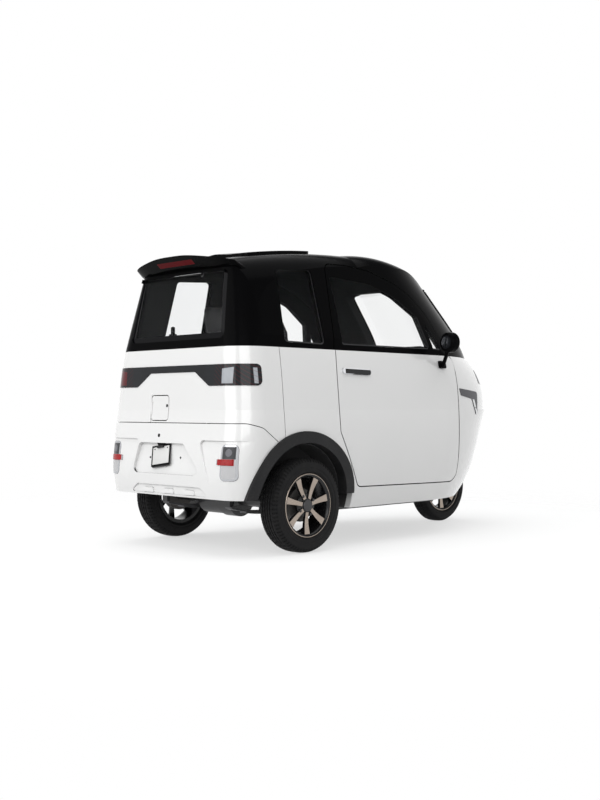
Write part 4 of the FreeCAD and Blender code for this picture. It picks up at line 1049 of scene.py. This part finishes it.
    def hub(self) -> list[Shape]:
        """The hub disc, its cap and the bolts between the spokes."""
        f, front = self.face, self.width / 2 - 0.018
        disc = [(0.0, -0.040), (0.047, -0.040), (0.047, -0.020), (0.061, -0.019), (0.063, -0.012),
                (0.060, -0.009), (0.040, -0.006), (0.036, 0.001), (0.0, 0.001)]
        cap = [(0.0, 0.001), (0.031, 0.001), (0.031, 0.0042), (0.0285, 0.0068), (0.012, 0.0082), (0.0, 0.0085)]
        pieces = [Forge.lathe([(r, (front + y) * f) for r, y in disc], self.centre, 64, False),
                  Forge.paint(Forge.lathe([(r, (front + y) * f) for r, y in cap], self.centre, 48, False), 2)]
        for i in range(self.bolts):
            angle = 2.0 * math.pi * (i + 0.32) / self.bolts
            way = Vector((math.cos(angle), 0.0, math.sin(angle)))
            place = self.centre + way * self.bolt_circle + Vector((0.0, f * (front - 0.011), 0.0))
            pieces.append(Forge.paint(Forge.knob(0.0085, 0.012, place, Vector((0.0, f, 0.0)), 6, 0.002), 2))
        return pieces

    def build(self) -> None:
        """Makes the tyre and the wheel of this place."""
        body = self.named("wheel")
        self.piece("tyre_" + self.label, self.tyre(), body, "tyre", [Finish.TYRE], [self.named("tyre")], 50.0)
        parts = [self.barrel()]
        for i in range(self.spokes):
            arm = self.spoke()
            turn = Matrix.Rotation(2.0 * math.pi * i / self.spokes + math.pi / 2, 3, "Y")
            bmesh.ops.rotate(arm, cent=self.centre, matrix=turn, verts=arm.verts)
            parts.append(arm)
        self.piece("wheel_" + self.label, Forge.join(parts + self.hub()), body, "alloy",
                   [Finish.WHEEL_BLACK, self.machined, Finish.DARK_STEEL], [self.named("rim")], 35.0)


@dataclass
class PaneRims(Part):
    """The printed edge of the big panes and the rubber seals round the side panes."""

    panes: tuple[tuple[str, str, float, Finish], ...] = (
        ("windscreen", "chassis", 0.028, Finish.GLASS_EDGE),
        ("rear_window", "chassis", 0.030, Finish.GLASS_EDGE),
        ("quarter_glass_left", "chassis", 0.007, Finish.SEAL),
        ("quarter_glass_right", "chassis", 0.007, Finish.SEAL),
        ("door_glass_left", "door_left", 0.007, Finish.SEAL),
        ("door_glass_right", "door_right", 0.007, Finish.SEAL),
    )
    lift: float = 0.0006
    outer_facing: float = 0.35

    def build(self) -> None:
        """Makes one rim for each pane."""
        heart = Vector(CABIN_HEART)
        for name, body, width, finish in self.panes:
            mesh = self.welded(name)
            inward = [f for f in mesh.faces
                      if f.normal.dot((f.calc_center_median() - heart).normalized()) < self.outer_facing]
            bmesh.ops.delete(mesh, geom=inward, context="FACES")
            bmesh.ops.dissolve_limit(mesh, angle_limit=math.radians(0.4), verts=mesh.verts, edges=mesh.edges)
            faces = mesh.faces[:]
            bmesh.ops.inset_region(mesh, faces=faces, thickness=width, use_boundary=True, use_even_offset=True)
            bmesh.ops.delete(mesh, geom=[f for f in faces if f.is_valid], context="FACES")
            mesh.normal_update()
            for v in mesh.verts:
                v.co += v.normal * self.lift
            self.piece("rim_" + name, mesh, body, "black_plastic", [finish], smooth=60.0)


@dataclass(frozen=True)
class Stud:
    """A round stud on a panel of the tail.

    The place is (y, z). Each step has a radius, a height and the depth to which its foot is sunk.
    """

    name: str
    panel: str
    place: Pair
    steps: tuple[Point, ...]
    finishes: tuple[Finish, ...]
    body: str = "chassis"
    segments: int = 24


@dataclass
class TailDetails(Part):
    """Small things on the tail: flap lock, plug, bolts, number plate, and the stud and latch of the glass."""

    panel_studs: tuple[Stud, ...] = (
        Stud("flap_lock", "charge_flap", (0.036, 0.762), ((0.0085, 0.0022, 0.0008), (0.0035, 0.0028, 0.0006)),
             (Finish.GLASS_EDGE, Finish.DARK_STEEL), "charge_flap"),
        Stud("bumper_plug", "rear_bumper", (0.084, 0.605), ((0.0105, 0.0016, 0.0010),), (Finish.GLASS_EDGE,)),
        Stud("recess_bolt_1", "rear_bumper", (0.167, 0.487), ((0.0065, 0.0030, 0.0010),),
             (Finish.DARK_STEEL,), segments=6),
        Stud("recess_bolt_2", "rear_bumper", (-0.089, 0.492), ((0.0065, 0.0030, 0.0010),),
             (Finish.DARK_STEEL,), segments=6),
    )
    glass_stud: Stud = Stud("glass_stud", "rear_window", (-0.150, 1.445),
                            ((0.013, 0.0024, 0.0004), (0.009, 0.0032, 0.0004)),
                            (Finish.DARK_STEEL, Finish.GLASS_EDGE))
    latch_place: Pair = (0.064, 1.135)
    latch_depth: float = 0.022
    plate_place: Point = (-1.2785, 0.064, 0.490)
    plate_tilt: float = -8.0
    plate_lean: float = 11.0
    plate_lift: float = 0.011
    plate_size: Point = (0.0012, 0.134, 0.092)
    bolt_place: Pair = (0.052, 0.036)
    holder_size: Point = (0.0036, 0.154, 0.112)
    holder_rim: float = 0.009
    holder_dip: float = 0.0012
    lamp_size: Point = (0.016, 0.060, 0.014)
    lamp_height: float = 0.064

    def build(self) -> None:
        """Makes the small pieces and seats them on the panels."""
        for stud in self.panel_studs:
            self.build_stud(stud)
        self.build_plate()
        self.build_stud(self.glass_stud)
        self.build_latch()

    def seen_from_behind(self, panel: str, place: Pair) -> tuple[Vector, Vector]:
        """The point of a panel at (y, z) that shows from behind, and its normal."""
        return Probe(self.nodes[panel]).hit((-2.0, *place), (1.0, 0.0, 0.0))

    def build_stud(self, stud: Stud) -> None:
        """Makes one stud with its steps on top of each other."""
        place, normal = self.seen_from_behind(stud.panel, stud.place)
        steps = [Forge.paint(Forge.knob(radius, height, place - normal * sink, normal, stud.segments), number)
                 for number, (radius, height, sink) in enumerate(stud.steps)]
        self.piece(stud.name, Forge.join(steps), stud.body, "black_plastic", stud.finishes)

    def build_plate(self) -> None:
        """Makes the blank plate, its two bolts, the holder and the lamp over it."""
        lean = Matrix.Rotation(math.radians(self.plate_lean), 4, "Y")
        tilt = Matrix.Rotation(math.radians(self.plate_tilt), 4, "X")
        lift = Vector((0.0, 0.0, self.plate_lift))
        holder = Forge.paint(Forge.block(self.holder_size, lift, bevel=0.0012), 2)
        lip = [f for f in holder.faces if f.normal.x < -0.9]
        bmesh.ops.inset_region(holder, faces=lip, thickness=self.holder_rim, depth=0.0)
        corners = list({v for f in lip for v in f.verts})
        bmesh.ops.translate(holder, vec=(self.holder_dip, 0.0, 0.0), verts=corners)
        face = Forge.block(self.plate_size, lift + REARWARD * 0.0010, bevel=0.0005)
        side, up = self.bolt_place
        feet = [Vector((-0.0014, y, up)) + lift for y in (-side, side)]
        bolts = [Forge.paint(Forge.knob(0.004, 0.0014, foot, REARWARD, 12, 0.0004), 1) for foot in feet]
        lamp = Forge.block(self.lamp_size, lift + Vector((0.001, 0.0, self.lamp_height)), bevel=0.004)
        plate = Forge.join([face, *bolts, holder, Forge.paint(lamp, 2)])
        self.piece("plate_blank", Forge.put(plate, Vector(self.plate_place), lean @ tilt), "chassis", "plate",
                   [Finish.PLATE, Finish.DARK_STEEL, Finish.GLASS_EDGE])

    def build_latch(self) -> None:
        """Makes the latch that shows through the rear glass."""
        place, _ = self.seen_from_behind("rear_window", self.latch_place)
        inside = place + Vector((self.latch_depth, 0.0, 0.0))
        bar = Forge.block((0.020, 0.050, 0.018), inside, bevel=0.005)
        post = Forge.block((0.018, 0.024, 0.052), inside + Vector((0.0, 0.0, 0.022)), bevel=0.008)
        self.piece("glass_latch", Forge.join([bar, post]), "chassis", "black_plastic", [Finish.GLASS_EDGE])


@dataclass
class MirrorFaces(Part):
    """The glass of each door mirror."""

    profile: tuple[Pair, ...] = (
        (0.0, -0.0008), (0.036, -0.0006), (0.044, 0.0016), (0.0455, 0.0040), (0.0, 0.0040))
    place: Point = (0.260, 0.632, 1.132)
    toe: float = 0.12

    def build(self) -> None:
        """Makes both glasses."""
        x, y, z = self.place
        for side in Side:
            name = side.name.lower()
            turn = aimed(Vector((1.0, self.toe * side.value, 0.0)).normalized(), "Y", "Z")
            glass = Forge.lathe(self.profile, Vector(), 64, False)
            Forge.put(glass, Vector((x, y * side.value, z)), turn)
            self.piece("mirror_glass_" + name, glass, "door_" + name, "dark_glass", [Finish.MIRROR])


@dataclass
class Cushions(Part):
    """Both seats: foam blown up by a cloth simulation inside the solids' outlines, with seams pressed in after.

    Each seat has the height of its base and half the width between its bolsters.
    """

    seats: tuple[tuple[str, float, float], ...] = (("front_seat", 0.400, 0.153), ("rear_seat", 0.392, 0.234))
    voxel: float = 0.011
    shrink: float = 0.010
    cap: float = 0.024
    pinned: float = 0.03
    pressure: float = 4.0
    frames: int = 20
    seam_half: float = 0.005
    seam_depth: float = 0.004
    seam_levels: tuple[float, ...] = (0.70, 0.86, 1.02, 1.18)
    taper: float = 0.13
    taper_levels: Pair = (0.98, 1.10)

    def cloth(self, obj: bpy.types.Object, base: float) -> None:
        """Blows one cushion up and keeps the result."""
        scene = bpy.context.scene
        rest = [v.co.copy() for v in obj.data.vertices]
        pins = obj.vertex_groups.new(name="pins")
        pins.add([i for i, co in enumerate(rest) if co.z < base + self.pinned], 1.0, "REPLACE")
        cloth = obj.modifiers.new("foam", "CLOTH")
        cloth.settings.use_pressure = True
        cloth.settings.uniform_pressure_force = self.pressure
        cloth.settings.vertex_group_mass = "pins"
        cloth.settings.effector_weights.gravity = 0.0
        cloth.settings.quality = 4
        cloth.point_cache.frame_start, cloth.point_cache.frame_end = 1, self.frames
        for frame in range(1, self.frames + 1):
            scene.frame_set(frame)
        made = bake(obj)
        scene.frame_set(1)
        for v, old in zip(made.vertices, rest):
            step = v.co - old
            if step.length > self.cap:
                v.co = old + step.normalized() * self.cap
        obj.data = made

    def build(self) -> None:
        """Makes both cushions."""
        for name, base, hollow in self.seats:
            mesh = self.welded(name)
            obj = self.piece("cushion_" + name, mesh, "chassis", "seat_cover", [Finish.SEAT], [name], None)
            remesh = obj.modifiers.new("even", "REMESH")
            remesh.mode = "VOXEL"
            remesh.voxel_size = self.voxel
            obj.data = bake(obj)
            shrunk = [c for v in obj.data.vertices for c in v.co - v.normal * self.shrink]
            obj.data.vertices.foreach_set("co", shrunk)
            self.cloth(obj, base)
            obj.modifiers.new("finer", "SUBSURF").levels = 1
            obj.data = bake(obj)
            self.press_seams(obj, hollow)
            obj.data.shade_smooth()
            dress(obj, Finish.SEAT.value.material)

    def press_seams(self, obj: bpy.types.Object, hollow: float) -> None:
        """Presses seams in along the bolsters and across the cushion, and narrows the rear seat's top."""
        outward = [v.normal.copy() for v in obj.data.vertices]
        start, end = self.taper_levels
        for v, normal in zip(obj.data.vertices, outward):
            y, z = abs(v.co.y), v.co.z
            gaps = [y - hollow] + ([z - level for level in self.seam_levels] if y < hollow else [])
            depth = self.seam_depth * math.exp(-(min(abs(gap) for gap in gaps) / self.seam_half) ** 2)
            if obj.name.endswith("rear_seat"):
                v.co.y *= 1.0 - self.taper * min(1.0, max(0.0, (z - start) / (end - start)))
            v.co -= normal * depth


@dataclass
class Controls(Part):
    """Grips, brake levers and the display in front of the driver.

    The ends of a grip are given as up the steering axis, sideways and ahead of it.
    """

    rake: float = 24.0
    grip_inner: Point = (0.834, 0.120, 0.0)
    grip_outer: Point = (0.830, 0.290, -0.090)
    ribs: int = 12
    rib_start: float = 0.04
    rib_step: float = 0.045
    display_size: Point = (0.0016, 0.150, 0.019)
    display_place: Point = (0.6497, 0.0, 1.134)
    display_tilt: float = -5.0

    def __post_init__(self) -> None:
        """Works out the steering axis and the way ahead, square to it."""
        rake = math.radians(self.rake)
        self.axis = Vector((-math.sin(rake), 0.0, math.cos(rake)))
        self.ahead = Vector((math.cos(rake), 0.0, math.sin(rake)))

    def along(self, point: Point, side: int) -> Vector:
        """A point over the front axle, on that side."""
        up, across, forward = point
        return FRONT_AXLE + self.axis * up + self.ahead * forward + Vector((0.0, side * across, 0.0))

    def build(self) -> None:
        """Makes the controls."""
        for side in Side:
            name = side.name.lower()
            inner, outer = self.along(self.grip_inner, side.value), self.along(self.grip_outer, side.value)
            run = outer - inner
            rings = [Forge.knob(0.0178, 0.0035, outer - run * (self.rib_start + self.rib_step * i),
                                run.normalized(), 32, 0.001) for i in range(self.ribs)]
            self.piece("grip_ribs_" + name, Forge.join(rings), "steering", "black_plastic", [Finish.SEAL])
            start = inner + run * 0.30 + self.ahead * 0.018
            end = outer - run * 0.10 + self.ahead * 0.045
            lever = Forge.block((0.008, (end - start).length, 0.012), (start + end) / 2,
                                aimed(end - start, "Y", "Z"), 0.003)
            self.piece("brake_lever_" + name, lever, "steering", "black_plastic", [Finish.DARK_STEEL])
        tilt = Matrix.Rotation(math.radians(self.display_tilt), 4, "Y")
        screen = Forge.block(self.display_size, Vector(self.display_place), tilt, 0.0006)
        self.piece("display", screen, "chassis", "black_plastic", [Finish.DISPLAY])


def main() -> None:
    """Builds the scene piece by piece."""
    logging.basicConfig(level=logging.INFO, format="%(message)s")
    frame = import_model()
    scene = bpy.context.scene
    scene.view_settings.view_transform = "Standard"
    nodes = frame["nodes"]
    Studio().build()
    Shell(nodes).build()
    for assembly in (
        RoadWheel(nodes, "rear_right", REAR_AXLE - Vector((0.0, REAR_WHEEL_Y, 0.0))),
        RoadWheel(nodes, "rear_left", REAR_AXLE + Vector((0.0, REAR_WHEEL_Y, 0.0)), face=1),
        RoadWheel(nodes, "front", FRONT_AXLE, 0.236, 0.112, machined=Finish.MACHINED_FRONT),
        PaneRims(nodes),
        TailDetails(nodes),
        MirrorFaces(nodes),
        Controls(nodes),
        Cushions(nodes),
    ):
        assembly.build()


if __name__ == "__main__":
    main()
